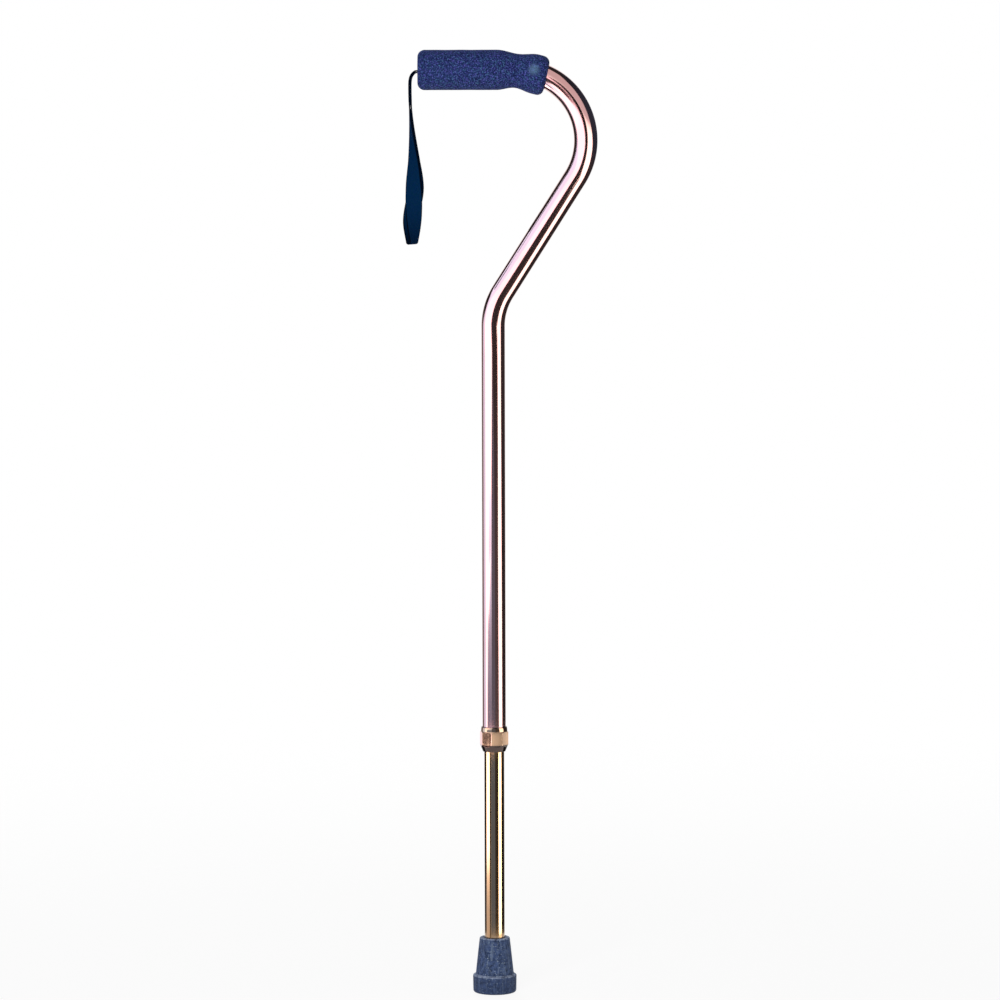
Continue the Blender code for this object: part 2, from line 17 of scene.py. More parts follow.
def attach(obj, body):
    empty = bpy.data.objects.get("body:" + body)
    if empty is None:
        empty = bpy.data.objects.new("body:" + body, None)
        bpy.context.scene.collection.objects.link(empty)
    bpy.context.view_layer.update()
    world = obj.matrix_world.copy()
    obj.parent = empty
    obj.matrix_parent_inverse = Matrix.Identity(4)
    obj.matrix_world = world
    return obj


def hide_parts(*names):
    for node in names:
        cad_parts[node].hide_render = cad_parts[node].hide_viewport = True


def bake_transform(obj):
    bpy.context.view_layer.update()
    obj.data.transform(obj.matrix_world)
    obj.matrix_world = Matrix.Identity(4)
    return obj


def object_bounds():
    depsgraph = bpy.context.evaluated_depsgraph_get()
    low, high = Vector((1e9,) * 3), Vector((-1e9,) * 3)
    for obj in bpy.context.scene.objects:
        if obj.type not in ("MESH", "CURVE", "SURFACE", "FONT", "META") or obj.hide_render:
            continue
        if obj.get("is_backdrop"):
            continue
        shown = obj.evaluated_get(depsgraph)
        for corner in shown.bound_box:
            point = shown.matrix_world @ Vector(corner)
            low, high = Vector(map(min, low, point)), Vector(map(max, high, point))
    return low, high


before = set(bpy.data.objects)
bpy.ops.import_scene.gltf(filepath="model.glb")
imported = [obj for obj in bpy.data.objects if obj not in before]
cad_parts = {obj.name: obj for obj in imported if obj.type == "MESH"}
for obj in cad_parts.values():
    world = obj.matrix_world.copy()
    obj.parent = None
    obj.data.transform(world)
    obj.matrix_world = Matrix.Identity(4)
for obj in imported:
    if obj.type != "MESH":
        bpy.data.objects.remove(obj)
cad_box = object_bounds()
mm = 0.001
print("CAD box in mm:", [round(c / mm, 1) for corner in cad_box for c in corner])

# %% [markdown]
# ## The bench
# A piece made by hand starts from a primitive at its place, is shaped in edit mode, and is
# finished with modifiers. These few helpers keep that short. Everything is deselected first,
# because an operator works on all that is selected. Place, turn and size are applied at once, so
# that a finished piece sits at the origin and its place is in its mesh, as the CAD solids have it.

# %% Start, shape and finish a piece
def start_piece(name, primitive, **options):
    """Add a primitive with nothing else selected, apply its place and open it in edit mode."""
    bpy.ops.object.select_all(action="DESELECT")
    primitive(**options)
    piece = bpy.context.object
    piece.name = piece.data.name = name
    bpy.ops.object.transform_apply(location=True, rotation=True, scale=True)
    bpy.ops.object.mode_set(mode="EDIT")
    bpy.ops.mesh.select_all(action="SELECT")
    return piece


def extrude(*by):
    """Extrude what is selected by a vector."""
    bpy.ops.mesh.extrude_region_move(TRANSFORM_OT_translate={"value": by})


def close_piece():
    """Merge doubles, point the faces outwards and leave edit mode."""
    bpy.ops.mesh.select_all(action="SELECT")
    bpy.ops.mesh.remove_doubles(threshold=0.000002)
    bpy.ops.mesh.normals_make_consistent(inside=False)
    bpy.ops.object.mode_set(mode="OBJECT")


def modify(piece, kind, **settings):
    """Add a modifier to a piece and apply it."""
    modifier = piece.modifiers.new(kind.lower(), kind)
    for setting, value in settings.items():
        setattr(modifier, setting, value)
    bpy.context.view_layer.objects.active = piece
    bpy.ops.object.modifier_apply(modifier=modifier.name)


def cut_with(piece, cutter, operation="DIFFERENCE"):
    """Cut one piece with another, which is used up."""
    modify(piece, "BOOLEAN", object=cutter, operation=operation, solver="EXACT")
    bpy.data.objects.remove(cutter, do_unlink=True)


def measure(piece):
    """Print how a piece came out: its faces, open edges, and whether its faces point outwards."""
    bm = bmesh.new()
    bm.from_mesh(piece.data)
    open_edges = sum(not edge.is_manifold for edge in bm.edges)
    volume = bm.calc_volume(signed=True)
    print(f"{piece.name}: {len(bm.faces)} faces, {open_edges} open edges, {volume * 1e6:.2f} cm3")
    bm.free()


# %% [markdown]
# ## Camera
# The photograph is taken from far away with a long lens: the camera stands level with the grip
# and looks slightly down, which shows the top of the rubber tip but not of the grip. The camera
# has no shift, so that a view from any other side frames the whole cane as well.

# %% Camera
camera_height = 0.872
camera_distance = 4.5
camera_tilt = math.radians(5.13)
camera_roll = math.radians(-0.14)

bpy.ops.object.camera_add(location=(0.006, -camera_distance, camera_height))
camera = bpy.context.object
camera.rotation_euler = (Matrix.Rotation(math.pi / 2 - camera_tilt, 4, "X")
                         @ Matrix.Rotation(camera_roll, 4, "Z")).to_euler()
camera.data.sensor_width = 36
camera.data.lens = 173.06
bpy.context.scene.camera = camera
bpy.context.scene.view_settings.view_transform = "Standard"

# %% [markdown]
# ## Nodes and colours
# A material is a graph of nodes. One function adds any node, sets its options and either sets or
# links its inputs. Colours are written as sRGB hex values, as read off a screen, and are turned
# into the linear values that a shader takes.

# %% Helpers for materials
def linear(hex_colour):
    """Turn an sRGB hex colour into linear red, green, blue and alpha."""
    channels = [int(hex_colour[i:i + 2], 16) / 255 for i in (1, 3, 5)]
    return [c / 12.92 if c <= 0.04045 else ((c + 0.055) / 1.055) ** 2.4 for c in channels] + [1.0]


def add_node(tree, kind, inputs=(), **options):
    """Add a node, set its options, and set or link its inputs."""
    node = tree.nodes.new("ShaderNode" + kind)
    for option, value in options.items():
        setattr(node, option, value)
    for socket, value in dict(inputs).items():
        if isinstance(value, bpy.types.NodeSocket):
            tree.links.new(value, node.inputs[socket])
        else:
            node.inputs[socket].default_value = value
    return node


def new_material(name):
    """An empty material and its node tree."""
    material = bpy.data.materials.new(name)
    material.use_nodes = True
    material.node_tree.nodes.clear()
    return material, material.node_tree


def show(tree, shader):
    """Send a shader to the material's output."""
    add_node(tree, "OutputMaterial", {"Surface": shader.outputs[0]})


# %% [markdown]
# ## White studio
# The cane stands in front of plain white. The world is white only where the camera, a reflection
# or glass looks at it, and gives a lower, even light otherwise. The floor is a pale sheet that
# keeps the cane's soft shadow. Away from the cane it fades out, so that no edge shows. It goes with
# the leg, so that the tip still stands on it when the cane is set longer or shorter.

# %% World and floor
world = bpy.data.worlds.new("studio")
world.use_nodes = True
bpy.context.scene.world = world
tree = world.node_tree
tree.nodes.clear()
path = add_node(tree, "LightPath")
seen = add_node(tree, "Math", {0: path.outputs["Is Camera Ray"], 1: path.outputs["Is Glossy Ray"]},
                operation="MAXIMUM")
seen = add_node(tree, "Math", {0: seen.outputs[0], 1: path.outputs["Is Transmission Ray"]},
                operation="MAXIMUM")
even_light = add_node(tree, "Background", {"Color": linear("#FFFFFF"), "Strength": 0.18})
white = add_node(tree, "Background", {"Color": linear("#FFFFFF"), "Strength": 1.0})
sky = add_node(tree, "MixShader", {0: seen.outputs[0], 1: even_light.outputs[0], 2: white.outputs[0]})
add_node(tree, "OutputWorld", {"Surface": sky.outputs[0]})

floor_reach = 2.0
floor = start_piece("floor", bpy.ops.mesh.primitive_grid_add, x_subdivisions=8, y_subdivisions=8,
                    size=2 * floor_reach)
bpy.ops.object.mode_set(mode="OBJECT")
material, tree = new_material("pale_floor")
path = add_node(tree, "LightPath")
seen = add_node(tree, "Math", {0: path.outputs["Is Camera Ray"], 1: path.outputs["Is Glossy Ray"]},
                operation="MAXIMUM")
share = add_node(tree, "Math", {0: seen.outputs[0], 1: 0.9}, operation="MULTIPLY")
paper = add_node(tree, "BsdfDiffuse", {"Color": linear("#F6F6F6")})
glow = add_node(tree, "Emission", {"Color": linear("#FFFFFF"), "Strength": 1.0})
surface = add_node(tree, "MixShader", {0: share.outputs[0], 1: paper.outputs[0], 2: glow.outputs[0]})
place = add_node(tree, "TexCoord")
distance = add_node(tree, "VectorMath", {0: place.outputs["Object"]}, operation="LENGTH")
fade = add_node(tree, "MapRange", {"Value": distance.outputs["Value"], "From Min": 0.3,
                                   "From Max": 0.95 * floor_reach}, interpolation_type="SMOOTHSTEP")
clear = add_node(tree, "BsdfTransparent")
show(tree, add_node(tree, "MixShader", {0: fade.outputs[0], 1: surface.outputs[0],
                                        2: clear.outputs[0]}))
floor.data.materials.append(material)
floor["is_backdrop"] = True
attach(floor, "leg")

# %% [markdown]
# ## Light
# Three big, soft lamps light the cane at a plain level: a colour renders about as it is written.
# They don't show in the metal. What bright metal shows is its surroundings, so these are built as
# a photographer does it, with cards just out of the picture that show in reflections only. On the
# left stands a wide light card, with a lilac one beyond it and a grey step at its foot, and on the
# right a narrow light card. A grey and a black flag in front give the dark middle stripe, flags
# beyond the lights give the dark edges, a black line parts the leg's stripes, and a small flag
# stands in the crook's hollow. A light's level is just enough to read as white in the coloured
# metal. The cards lean in at the foot, because the leg is seen from above and would show the floor.

# %% Lamps
def soft_lamp(name, location, target, size, level):
    """A square area lamp whose light on a surface that faces it at the target has this level."""
    reach = Vector(target) - Vector(location)
    lamp = bpy.data.lights.new(name, "AREA")
    lamp.shape = "SQUARE"
    lamp.size = size
    lamp.energy = level * 4 * math.pi * reach.length ** 2
    made = bpy.data.objects.new(name, lamp)
    bpy.context.scene.collection.objects.link(made)
    made.location = location
    made.rotation_euler = reach.to_track_quat("-Z", "Y").to_euler()
    made.visible_camera = False
    made.visible_glossy = False
    return made


soft_lamp("front_lamp", (-0.9, -3.0, 1.2), (0, 0, 0.5), 1.2, 0.60)
soft_lamp("side_lamp", (2.2, -1.2, 1.3), (0, 0, 0.5), 1.0, 0.05)
soft_lamp("back_lamp", (-0.4, 2.6, 1.9), (0, 0, 0.5), 1.2, 0.38)


# %% Cards that the metal shows
def card_distance(height):
    """How far the cards stand from the cane's axis at a height: they lean in at the foot."""
    return 0.28 + 0.32 * min(max(height / 0.6, 0.0), 1.0)


cards = []


def only_in_reflections(card):
    """Hide a card from the camera and from every ray but a reflection."""
    for ray in ("camera", "diffuse", "transmission", "volume_scatter", "shadow"):
        setattr(card, "visible_" + ray, False)
    card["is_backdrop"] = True


def hang_card(name, soft, *rows):
    """A curved card with soft sides, just in front of those before it. Each row gives its height,
    where it starts and ends in degrees right of the camera's direction, its level and colour, and
    for a card close to the cane also its distance from the axis."""
    across = 24
    card = start_piece(name, bpy.ops.mesh.primitive_grid_add, x_subdivisions=across,
                       y_subdivisions=len(rows) - 1, size=1.0)
    bpy.ops.object.mode_set(mode="OBJECT")
    inside = card.data.attributes.new("degrees_in", "FLOAT", "POINT")
    glow = card.data.attributes.new("glow", "FLOAT_VECTOR", "POINT")
    for vertex in card.data.vertices:
        height, left, right, level, colour, *near = rows[round((vertex.co.y + 0.5) * (len(rows) - 1))]
        along = vertex.co.x + 0.5
        turn = math.radians(left + (right - left) * along)
        inside.data[vertex.index].value = (right - left) * min(along, 1 - along)
        glow.data[vertex.index].vector = [level * channel for channel in linear(colour)[:3]]
        reach = near[0] if near else card_distance(height) - 2 * mm * len(cards)
        vertex.co = (reach * math.sin(turn), -reach * math.cos(turn), height)
    cards.append(card)
    material, tree = new_material(name + "_paper")
    inside = add_node(tree, "Attribute", attribute_name="degrees_in")
    edge = add_node(tree, "MapRange", {"Value": inside.outputs["Fac"], "From Max": soft},
                    interpolation_type="SMOOTHSTEP")
    glow = add_node(tree, "Attribute", attribute_name="glow")
    shine = add_node(tree, "Emission", {"Color": glow.outputs["Vector"], "Strength": 1.0})
    clear = add_node(tree, "BsdfTransparent")
    show(tree, add_node(tree, "MixShader", {0: edge.outputs[0], 1: clear.outputs[0],
                                            2: shine.outputs[0]}))
    card.data.materials.append(material)
    only_in_reflections(card)


warm, plain, cool, blue, pink = "#FFFDF6", "#FFF7FB", "#CEE2FF", "#B7D2FF", "#FFEAF3"
hang_card("left_light", 6,
          (-0.16, -108, -50, 0.9, plain), (0.03, -108, -52, 1.1, plain), (0.06, -104, -54, 2.0, plain),
          (0.09, -101, -50, 6.6, plain), (0.185, -101, -50, 6.6, plain), (0.195, -92, -54, 2.6, plain),
          (0.30, -92, -48, 2.6, plain), (0.38, -92, -21, 2.6, plain), (0.47, -92, -14, 2.6, plain),
          (0.57, -92, 0, 2.6, plain), (0.71, -92, 4, 2.6, pink), (0.78, -92, 14, 2.6, pink),
          (0.85, -92, 20, 2.6, pink), (0.95, -92, 21, 2.6, pink), (1.10, -92, 4, 2.3, pink),
          (1.30, -92, -30, 1.8, plain))
hang_card("lilac_light", 12,
          (0.19, -118, -80, 1.5, cool), (0.60, -118, -82, 1.6, cool), (0.75, -108, -82, 1.9, cool),
          (0.88, -108, -68, 2.1, cool), (0.98, -122, -34, 2.15, cool), (1.30, -122, -34, 2.15, cool))
hang_card("grey_step", 8,
          (0.19, -72, -16, 0.36, cool), (0.24, -70, -16, 0.55, cool), (0.29, -64, -16, 0.90, cool),
          (0.33, -58, -18, 1.3, cool), (0.38, -52, -18, 1.9, cool), (0.43, -44, -18, 2.6, cool))
hang_card("right_light", 5,
          (-0.16, 40, 92, 6.6, warm), (0.185, 40, 92, 6.6, warm), (0.195, 40, 92, 2.8, warm),
          (0.30, 36, 90, 2.8, warm), (0.45, 34, 88, 2.8, warm), (0.57, 33, 84, 2.8, warm),
          (0.64, 26, 88, 2.8, warm), (0.70, 21, 90, 2.7, warm), (0.84, 20, 92, 2.6, warm),
          (0.88, 22, 92, 1.9, warm), (0.92, 24, 90, 0.85, plain), (1.30, 16, 90, 0.8, plain),
          (1.90, 0, 90, 0.8, plain))
hang_card("right_flag", 3,
          (-0.16, 84, 152, 0.02, plain), (0.185, 84, 152, 0.03, plain), (0.30, 82, 152, 0.03, plain),
          (0.57, 75, 152, 0.04, plain), (0.75, 70, 152, 0.06, blue), (0.93, 64, 152, 0.07, blue),
          (1.13, 66, 152, 0.06, blue), (1.37, 68, 152, 0.04, blue), (1.60, 79, 152, 0.03, plain),
          (2.60, 72, 152, 0.03, plain))
hang_card("left_flag", 3,
          (-0.16, -152, -102, 0.03, plain), (0.185, -152, -99, 0.05, plain),
          (0.195, -152, -114, 0.18, plain), (0.60, -152, -114, 0.18, plain),
          (0.75, -152, -99, 0.03, plain), (0.88, -152, -99, 0.03, plain),
          (0.95, -152, -112, 0.03, plain), (1.30, -152, -112, 0.03, plain))
hang_card("front_flag", 3,
          (-0.16, -40, 14, 0.40, blue), (0.185, -40, 14, 0.40, blue), (0.195, -24, 16, 0.22, cool),
          (0.35, -23, 16, 0.21, cool), (0.45, -22, 14, 0.21, cool), (0.52, -17, 8, 0.20, cool),
          (0.58, -14, 4, 0.10, cool), (0.62, -16, 4, 0.05, cool))
hang_card("dark_flag", 2.5,
          (-0.16, 8, 50, 0.06, plain), (0.185, 8, 50, 0.06, plain), (0.195, 10, 50, 0.10, plain),
          (0.30, 9, 46, 0.09, plain), (0.38, 8, 45, 0.08, plain), (0.48, 4, 46, 0.06, plain),
          (0.56, -6, 45, 0.04, plain), (0.60, -21, 42, 0.04, plain), (0.66, -18, 34, 0.04, plain),
          (0.71, -12, 30, 0.04, plain), (0.76, -5, 28, 0.03, plain), (0.80, 1, 28, 0.02, plain),
          (0.83, 4, 29, 0.02, plain), (0.89, 6, 28, 0.02, plain), (0.94, 8, 23, 0.02, plain),
          (0.98, 10, 20, 0.05, plain))
hang_card("leg_line", 4,
          (-0.16, -60, -38, 0.20, plain), (0.04, -59, -38, 0.12, plain), (0.09, -58, -38, 0.0, plain),
          (0.185, -58, -38, 0.0, plain))

hollow = (0, 0.039, 0.79)
hollow_flag = start_piece("hollow_flag", bpy.ops.mesh.primitive_plane_add, size=1.0,
                          location=hollow, rotation=(0, math.pi / 2, 0))
bpy.ops.transform.resize(value=(1, 0.07, 0.10), center_override=hollow)
bpy.ops.object.mode_set(mode="OBJECT")
material, tree = new_material("hollow_flag_paper")
show(tree, add_node(tree, "Emission", {"Color": linear(plain), "Strength": 0.03}))
hollow_flag.data.materials.append(material)
only_in_reflections(hollow_flag)
print(len(cards) + 1, "cards round the tubes")

# %% [markdown]
# ## Centreline of the tube
# The tube is one length of 7/8 inch pipe, bent twice on a bender: round the crook, down a leaning
# run, and back into the upright shaft. The same path serves for the tube, for the bore that it
# needs in the foam, and for the drawn lines on its surface, so it is written once.

# %% Sizes of the tube's path
handle_tube_radius = 0.0111
handle_tube_wall = 0.00115
handle_tube_start_x = -0.0636
handle_tube_end_z = 0.2437
grip_axis_z = 0.8707
crook_radius = 0.0656
crook_start_x = 0.0213
lean_angle = math.radians(32.4)
shaft_bend_radius = 0.0604
crook_turn = math.pi / 2 + lean_angle

crook_centre = Vector((crook_start_x, 0, grip_axis_z - crook_radius))
lean_down = Vector((-math.sin(lean_angle), 0, -math.cos(lean_angle)))
lean_side = Vector((math.cos(lean_angle), 0, -math.sin(lean_angle)))
lean_start = crook_centre + lean_side * crook_radius
lean_length = (lean_start.x - shaft_bend_radius * (1 - math.cos(lean_angle))) / math.sin(lean_angle)
shaft_bend_end_z = (lean_start + lean_down * lean_length).z - shaft_bend_radius * math.sin(lean_angle)
shaft_bend_centre = Vector((shaft_bend_radius, 0, shaft_bend_end_z))
print("leaning run", round(lean_length / mm, 1), "mm, shaft upright from", round(shaft_bend_end_z / mm, 1))


# %% Bend a tube along the path
def bend_tube(name, radius, start_x, *stops, capped=False):
    """Extrude and spin a circle along the path, and down the shaft from stop to stop."""
    tube = start_piece(name, bpy.ops.mesh.primitive_circle_add, vertices=128, radius=radius,
                       fill_type="NGON" if capped else "NOTHING",
                       location=(start_x, 0, grip_axis_z), rotation=(0, math.pi / 2, 0))
    extrude(crook_start_x - start_x, 0, 0)
    bpy.ops.mesh.spin(steps=72, angle=crook_turn, center=crook_centre, axis=(0, -1, 0))
    extrude(*(lean_down * lean_length))
    bpy.ops.mesh.spin(steps=24, angle=lean_angle, center=shaft_bend_centre, axis=(0, 1, 0))
    for above, below in zip((shaft_bend_end_z,) + stops, stops):
        extrude(0, 0, below - above)
    close_piece()
    return tube


# %% [markdown]
# ## Handle tube
# Drawn aluminium pipe with a wall of 1.15 mm. The wall comes from a Solidify modifier that grows
# inwards, after the normals are right. Ten setting holes go through the back, an inch apart. They
# are one rod, copied up the tube and cut out together, as a drill would do in a jig. A ring of
# edges between the holes, and one just above the lower end, keep each hole's and the rim's effect
# on the smooth shading to themselves.

# %% Handle tube with its setting holes
hole_pitch = 0.0254
lowest_hole_z = 0.3037
hole_count = 10
hole_radius = 0.0034

between_holes = [lowest_hole_z + hole_pitch * (i - 0.5) for i in range(hole_count, -1, -1)]
handle_tube = bend_tube("handle_tube_skin", handle_tube_radius, handle_tube_start_x,
                        *between_holes, handle_tube_end_z + 0.6 * mm, handle_tube_end_z)
modify(handle_tube, "SOLIDIFY", thickness=handle_tube_wall, offset=-1, use_even_offset=True)

drill = start_piece("drill", bpy.ops.mesh.primitive_cylinder_add, vertices=48, radius=hole_radius,
                    depth=0.012, location=(0, 0.0111, lowest_hole_z), rotation=(math.pi / 2, 0, 0))
for copy in range(hole_count - 1):
    bpy.ops.mesh.duplicate_move(TRANSFORM_OT_translate={"value": (0, 0, hole_pitch)})
bpy.ops.object.mode_set(mode="OBJECT")
cut_with(handle_tube, drill)
modify(handle_tube, "BEVEL", width=0.15 * mm, segments=2, limit_method="ANGLE",
       angle_limit=math.radians(60))
measure(handle_tube)


# %% Where each point would be if the tube were straight
def unbent(point):
    """Place of a point of the bent tube on the straight pipe: across, through, and length along."""
    point = Vector(point)
    round_crook = point - crook_centre
    crook_angle = math.atan2(round_crook.x, round_crook.z)
    down_lean = (point - lean_start).dot(lean_down)
    if point.x <= crook_start_x and point.z > crook_centre.z:
        return Vector((point.z - grip_axis_z, point.y, point.x - crook_start_x))
    if round_crook.x > 0 and crook_angle <= crook_turn and down_lean <= 0:
        across = math.hypot(round_crook.x, round_crook.z) - crook_radius
        return Vector((across, point.y, crook_radius * crook_angle))
    length = crook_radius * crook_turn
    if down_lean <= lean_length:
        return Vector(((point - lean_start).dot(lean_side), point.y, length + down_lean))
    length += lean_length
    round_bend = point - shaft_bend_centre
    left = math.atan2(round_bend.z, -round_bend.x)
    if left > 0:
        across = shaft_bend_radius - math.hypot(round_bend.x, round_bend.z)
        return Vector((across, point.y, length + shaft_bend_radius * (lean_angle - left)))
    length += shaft_bend_radius * lean_angle
    return Vector((point.x, point.y, length + shaft_bend_end_z - point.z))


drawn = handle_tube.data.attributes.new("drawn", "FLOAT_VECTOR", "POINT")
drawn.data.foreach_set("vector", [c for v in handle_tube.data.vertices for c in unbent(v.co)])
print("pipe before bending", round(max(unbent(v.co).z for v in handle_tube.data.vertices)
                                   - handle_tube_start_x + crook_start_x, 3), "m")


# %% [markdown]
# ## Anodised aluminium
# The tubes are bright-dipped and anodised: acid makes the metal shine, a clear oxide film grows on
# it, and dye colours the film. To the eye that is coloured metal under a thin, hard, colourless
# gloss. The metal keeps its default index and the film is the shader's coat, with the index of
# alumina. The pipe was pulled through a die, which leaves faint lines along it. They are noise
# stretched along the pipe, a bump of a few thousandths of a millimetre.

# %% Anodised finish
def anodised(name, colour, pale, roughness, drawn_attribute=None, line_pitch=1.1 * mm, unshaded_heights=None):
    """Coloured metal under a clear film, with drawn lines along its length. Outside the two
    heights given, where a piece has them, the metal is painted browner and darker, a painted shade."""
    material, tree = new_material(name)
    if drawn_attribute:
        place = add_node(tree, "Attribute", attribute_name=drawn_attribute).outputs["Vector"]
    else:
        place = add_node(tree, "TexCoord").outputs["Object"]
    along = add_node(tree, "Mapping", {"Vector": place, "Scale": (1, 1, 0.004)})
    lines = add_node(tree, "TexNoise", {"Vector": along.outputs[0], "Scale": 1 / line_pitch,
                                        "Detail": 3, "Roughness": 0.6})
    cloud = add_node(tree, "TexNoise", {"Vector": place, "Scale": 1 / (35 * mm), "Detail": 2})
    tint = add_node(tree, "MapRange", {"Value": cloud.outputs["Fac"], "From Min": 0.3,
                                       "From Max": 0.7})
    base = add_node(tree, "Mix", {"Factor": tint.outputs[0], "A": linear(colour), "B": linear(pale)},
                    data_type="RGBA")
    # Painted shade: outside the given heights the base colour is mixed towards dark brown.
    if unshaded_heights:
        height = add_node(tree, "SeparateXYZ", {0: place})
        off = add_node(tree, "Math", {0: height.outputs["Z"], 1: sum(unshaded_heights) / 2}, operation="SUBTRACT")
        off = add_node(tree, "Math", {0: off.outputs[0]}, operation="ABSOLUTE")
        half = (unshaded_heights[1] - unshaded_heights[0]) / 2
        painted_shade = add_node(tree, "MapRange", {"Value": off.outputs[0], "From Min": half,
                                            "From Max": half + 0.5 * mm})
        base = add_node(tree, "Mix", {"Factor": painted_shade.outputs[0], "A": base.outputs["Result"],
                                      "B": linear("#3E2216")}, data_type="RGBA")
    satin = add_node(tree, "MapRange", {"Value": lines.outputs["Fac"], "From Min": 0.3,
                                        "From Max": 0.7, "To Min": roughness - 0.02,
                                        "To Max": roughness + 0.02})
    bump = add_node(tree, "Bump", {"Height": lines.outputs["Fac"], "Strength": 1.0,
                                   "Distance": 0.006 * mm})
    shader = add_node(tree, "BsdfPrincipled", {
        "Base Color": base.outputs["Result"], "Metallic": 1.0, "Roughness": satin.outputs[0],
        "Coat Weight": 1.0, "Coat IOR": 1.65, "Coat Roughness": 0.04, "Normal": bump.outputs[0]})
    show(tree, shader)
    return material


def dress(piece, material, body, smooth=35):
    """Give a piece its finish, smooth its round faces and let it move with a CAD body."""
    piece.data.materials.clear()
    piece.data.materials.append(material)
    bpy.ops.object.select_all(action="DESELECT")
    piece.select_set(True)
    bpy.context.view_layer.objects.active = piece
    bpy.ops.object.shade_smooth_by_angle(angle=math.radians(smooth))
    if body:
        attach(piece, body)


rose_aluminium = anodised("rose_anodised_aluminium", "#D9A6A0", "#DDADA9", 0.10, "drawn")
dress(handle_tube, rose_aluminium, "handle_shaft")
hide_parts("handle_tube")

# %% [markdown]
# ## Leg tube
# A straight 3/4 inch tube that slides in the shaft, anodised a darker bronze. It is a circle drawn
# up, given its wall and one hole for the button, and its rims are broken with a small bevel. Rings
# of edges just inside the ends and beside the hole stop the bevel and the hole from tilting the
# shading of the long faces between them.

# %% Leg tube
leg_tube_radius = 0.009525
leg_tube_wall = 0.00125
leg_tube_bottom_z = 0.0112
leg_tube_top_z = 0.4353
button_z = 0.4053

leg_tube = start_piece("leg_tube_skin", bpy.ops.mesh.primitive_circle_add, vertices=128,
                       radius=leg_tube_radius, location=(0, 0, leg_tube_bottom_z))
rings = [leg_tube_bottom_z, leg_tube_bottom_z + 0.6 * mm, button_z - 6 * mm, button_z + 6 * mm,
         leg_tube_top_z - 0.6 * mm, leg_tube_top_z]
for below, above in zip(rings, rings[1:]):
    extrude(0, 0, above - below)
close_piece()
modify(leg_tube, "SOLIDIFY", thickness=leg_tube_wall, offset=-1, use_even_offset=True)
modify(leg_tube, "BEVEL", width=0.3 * mm, segments=2, limit_method="ANGLE", angle_limit=math.radians(60))
drill = start_piece("drill", bpy.ops.mesh.primitive_cylinder_add, vertices=48, radius=hole_radius,
                    depth=0.012, location=(0, leg_tube_radius, button_z), rotation=(math.pi / 2, 0, 0))
bpy.ops.object.mode_set(mode="OBJECT")
cut_with(leg_tube, drill)
measure(leg_tube)

bronze_aluminium = anodised("bronze_anodised_aluminium", "#B08A5E", "#B69067", 0.11)
dress(leg_tube, bronze_aluminium, "leg")
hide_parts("leg_tube")


# %% [markdown]
# ## Turned pieces
# Nut, tip, grip and button are round, so each starts as an outline: a single point, extruded from
# place to place, is spun once round the axis. The spin leaves doubles at the seam and at the poles,
# which are merged before the normals are turned outwards.

# %% Draw an outline and spin it
def turn(name, outline, steps=96, base=(0, 0, 0), axis=(0, 0, 1)):
    """Spin an outline of (radius, height) points round an axis through base."""
    axis, base = Vector(axis), Vector(base)
    side = Vector((1, 0, 0)) if abs(axis.x) < 0.5 else Vector((0, 0, 1))
    points = [base + side * radius + axis * height for radius, height in outline]
    piece = start_piece(name, bpy.ops.mesh.primitive_plane_add, size=0.001, location=points[0])
    bpy.ops.mesh.merge(type="CENTER")
    for first, second in zip(points, points[1:]):
        extrude(*(second - first))
    bpy.ops.mesh.select_all(action="SELECT")
    bpy.ops.mesh.spin(steps=steps, angle=2 * math.pi, center=base, axis=axis)
    close_piece()
    return piece


def corner(centre, radius, start, end, steps=6):
    """Points of an arc in an outline, from one angle to another in degrees."""
    turns = [math.radians(start + (end - start) * i / steps) for i in range(steps + 1)]
    return [(centre[0] + radius * math.cos(t), centre[1] + radius * math.sin(t)) for t in turns]


# %% [markdown]
# ## Lock nut
# An eight-sided collar, turned from aluminium bar and screwed on the shaft, where it squeezes a
# split bush on the leg. The lathe gives its round dome, the small step under it and the lower
# chamfer, and the flats come from an eight-sided bar. What lies inside both is the nut. The bar's
# corners are a little proud of the turned body, so each corner keeps a thin turned land, and a
# small bevel breaks the edges and catches the light. Weighted normals keep the shading of the
# wide flats even, so that only the bevels look round.

# %% Lock nut
nut_floor_height = 0.2302
nut_length = 0.0235
nut_across_flats = 0.0254
nut_corner_radius = nut_across_flats / 2 / math.cos(math.pi / 8)
nut_land = 0.12 * mm
nut_bore = handle_tube_radius + 0.3 * mm
nut_mouth_bore = leg_tube_radius + 0.3 * mm
nut_body = nut_corner_radius - nut_land
nut_top_radius = nut_bore + 0.45 * mm
nut_dome_radius = 12.6 * mm
nut_dome = 4.3 * mm
nut_chamfer = 6.8 * mm

outline = [(nut_top_radius + (nut_dome_radius - nut_top_radius) * math.sin(math.pi / 2 * i / 10),
            nut_length - nut_dome * (1 - math.cos(math.pi / 2 * i / 10))) for i in range(11)]
outline += [(nut_body, nut_length - nut_dome - 0.9 * mm), (nut_body, nut_chamfer), (nut_mouth_bore + 1.0 * mm, 0), (nut_mouth_bore, 0),
            (nut_mouth_bore, 2.0 * mm), (nut_bore - 0.65 * mm, 2.0 * mm), (nut_bore, 5.5 * mm),
            (nut_bore, nut_length), outline[0]]
lock_nut = turn("lock_nut_body", outline, steps=128, base=(0, 0, nut_floor_height))
bar = start_piece("bar", bpy.ops.mesh.primitive_cylinder_add, vertices=8, radius=nut_corner_radius,
                  depth=0.04, location=(0, 0, nut_floor_height + nut_length / 2))
bpy.ops.object.mode_set(mode="OBJECT")
first_corner = math.atan2(bar.data.vertices[0].co.y, bar.data.vertices[0].co.x)
bar.data.transform(Matrix.Rotation(math.radians(34) - first_corner, 4, "Z"))
cut_with(lock_nut, bar, "INTERSECT")
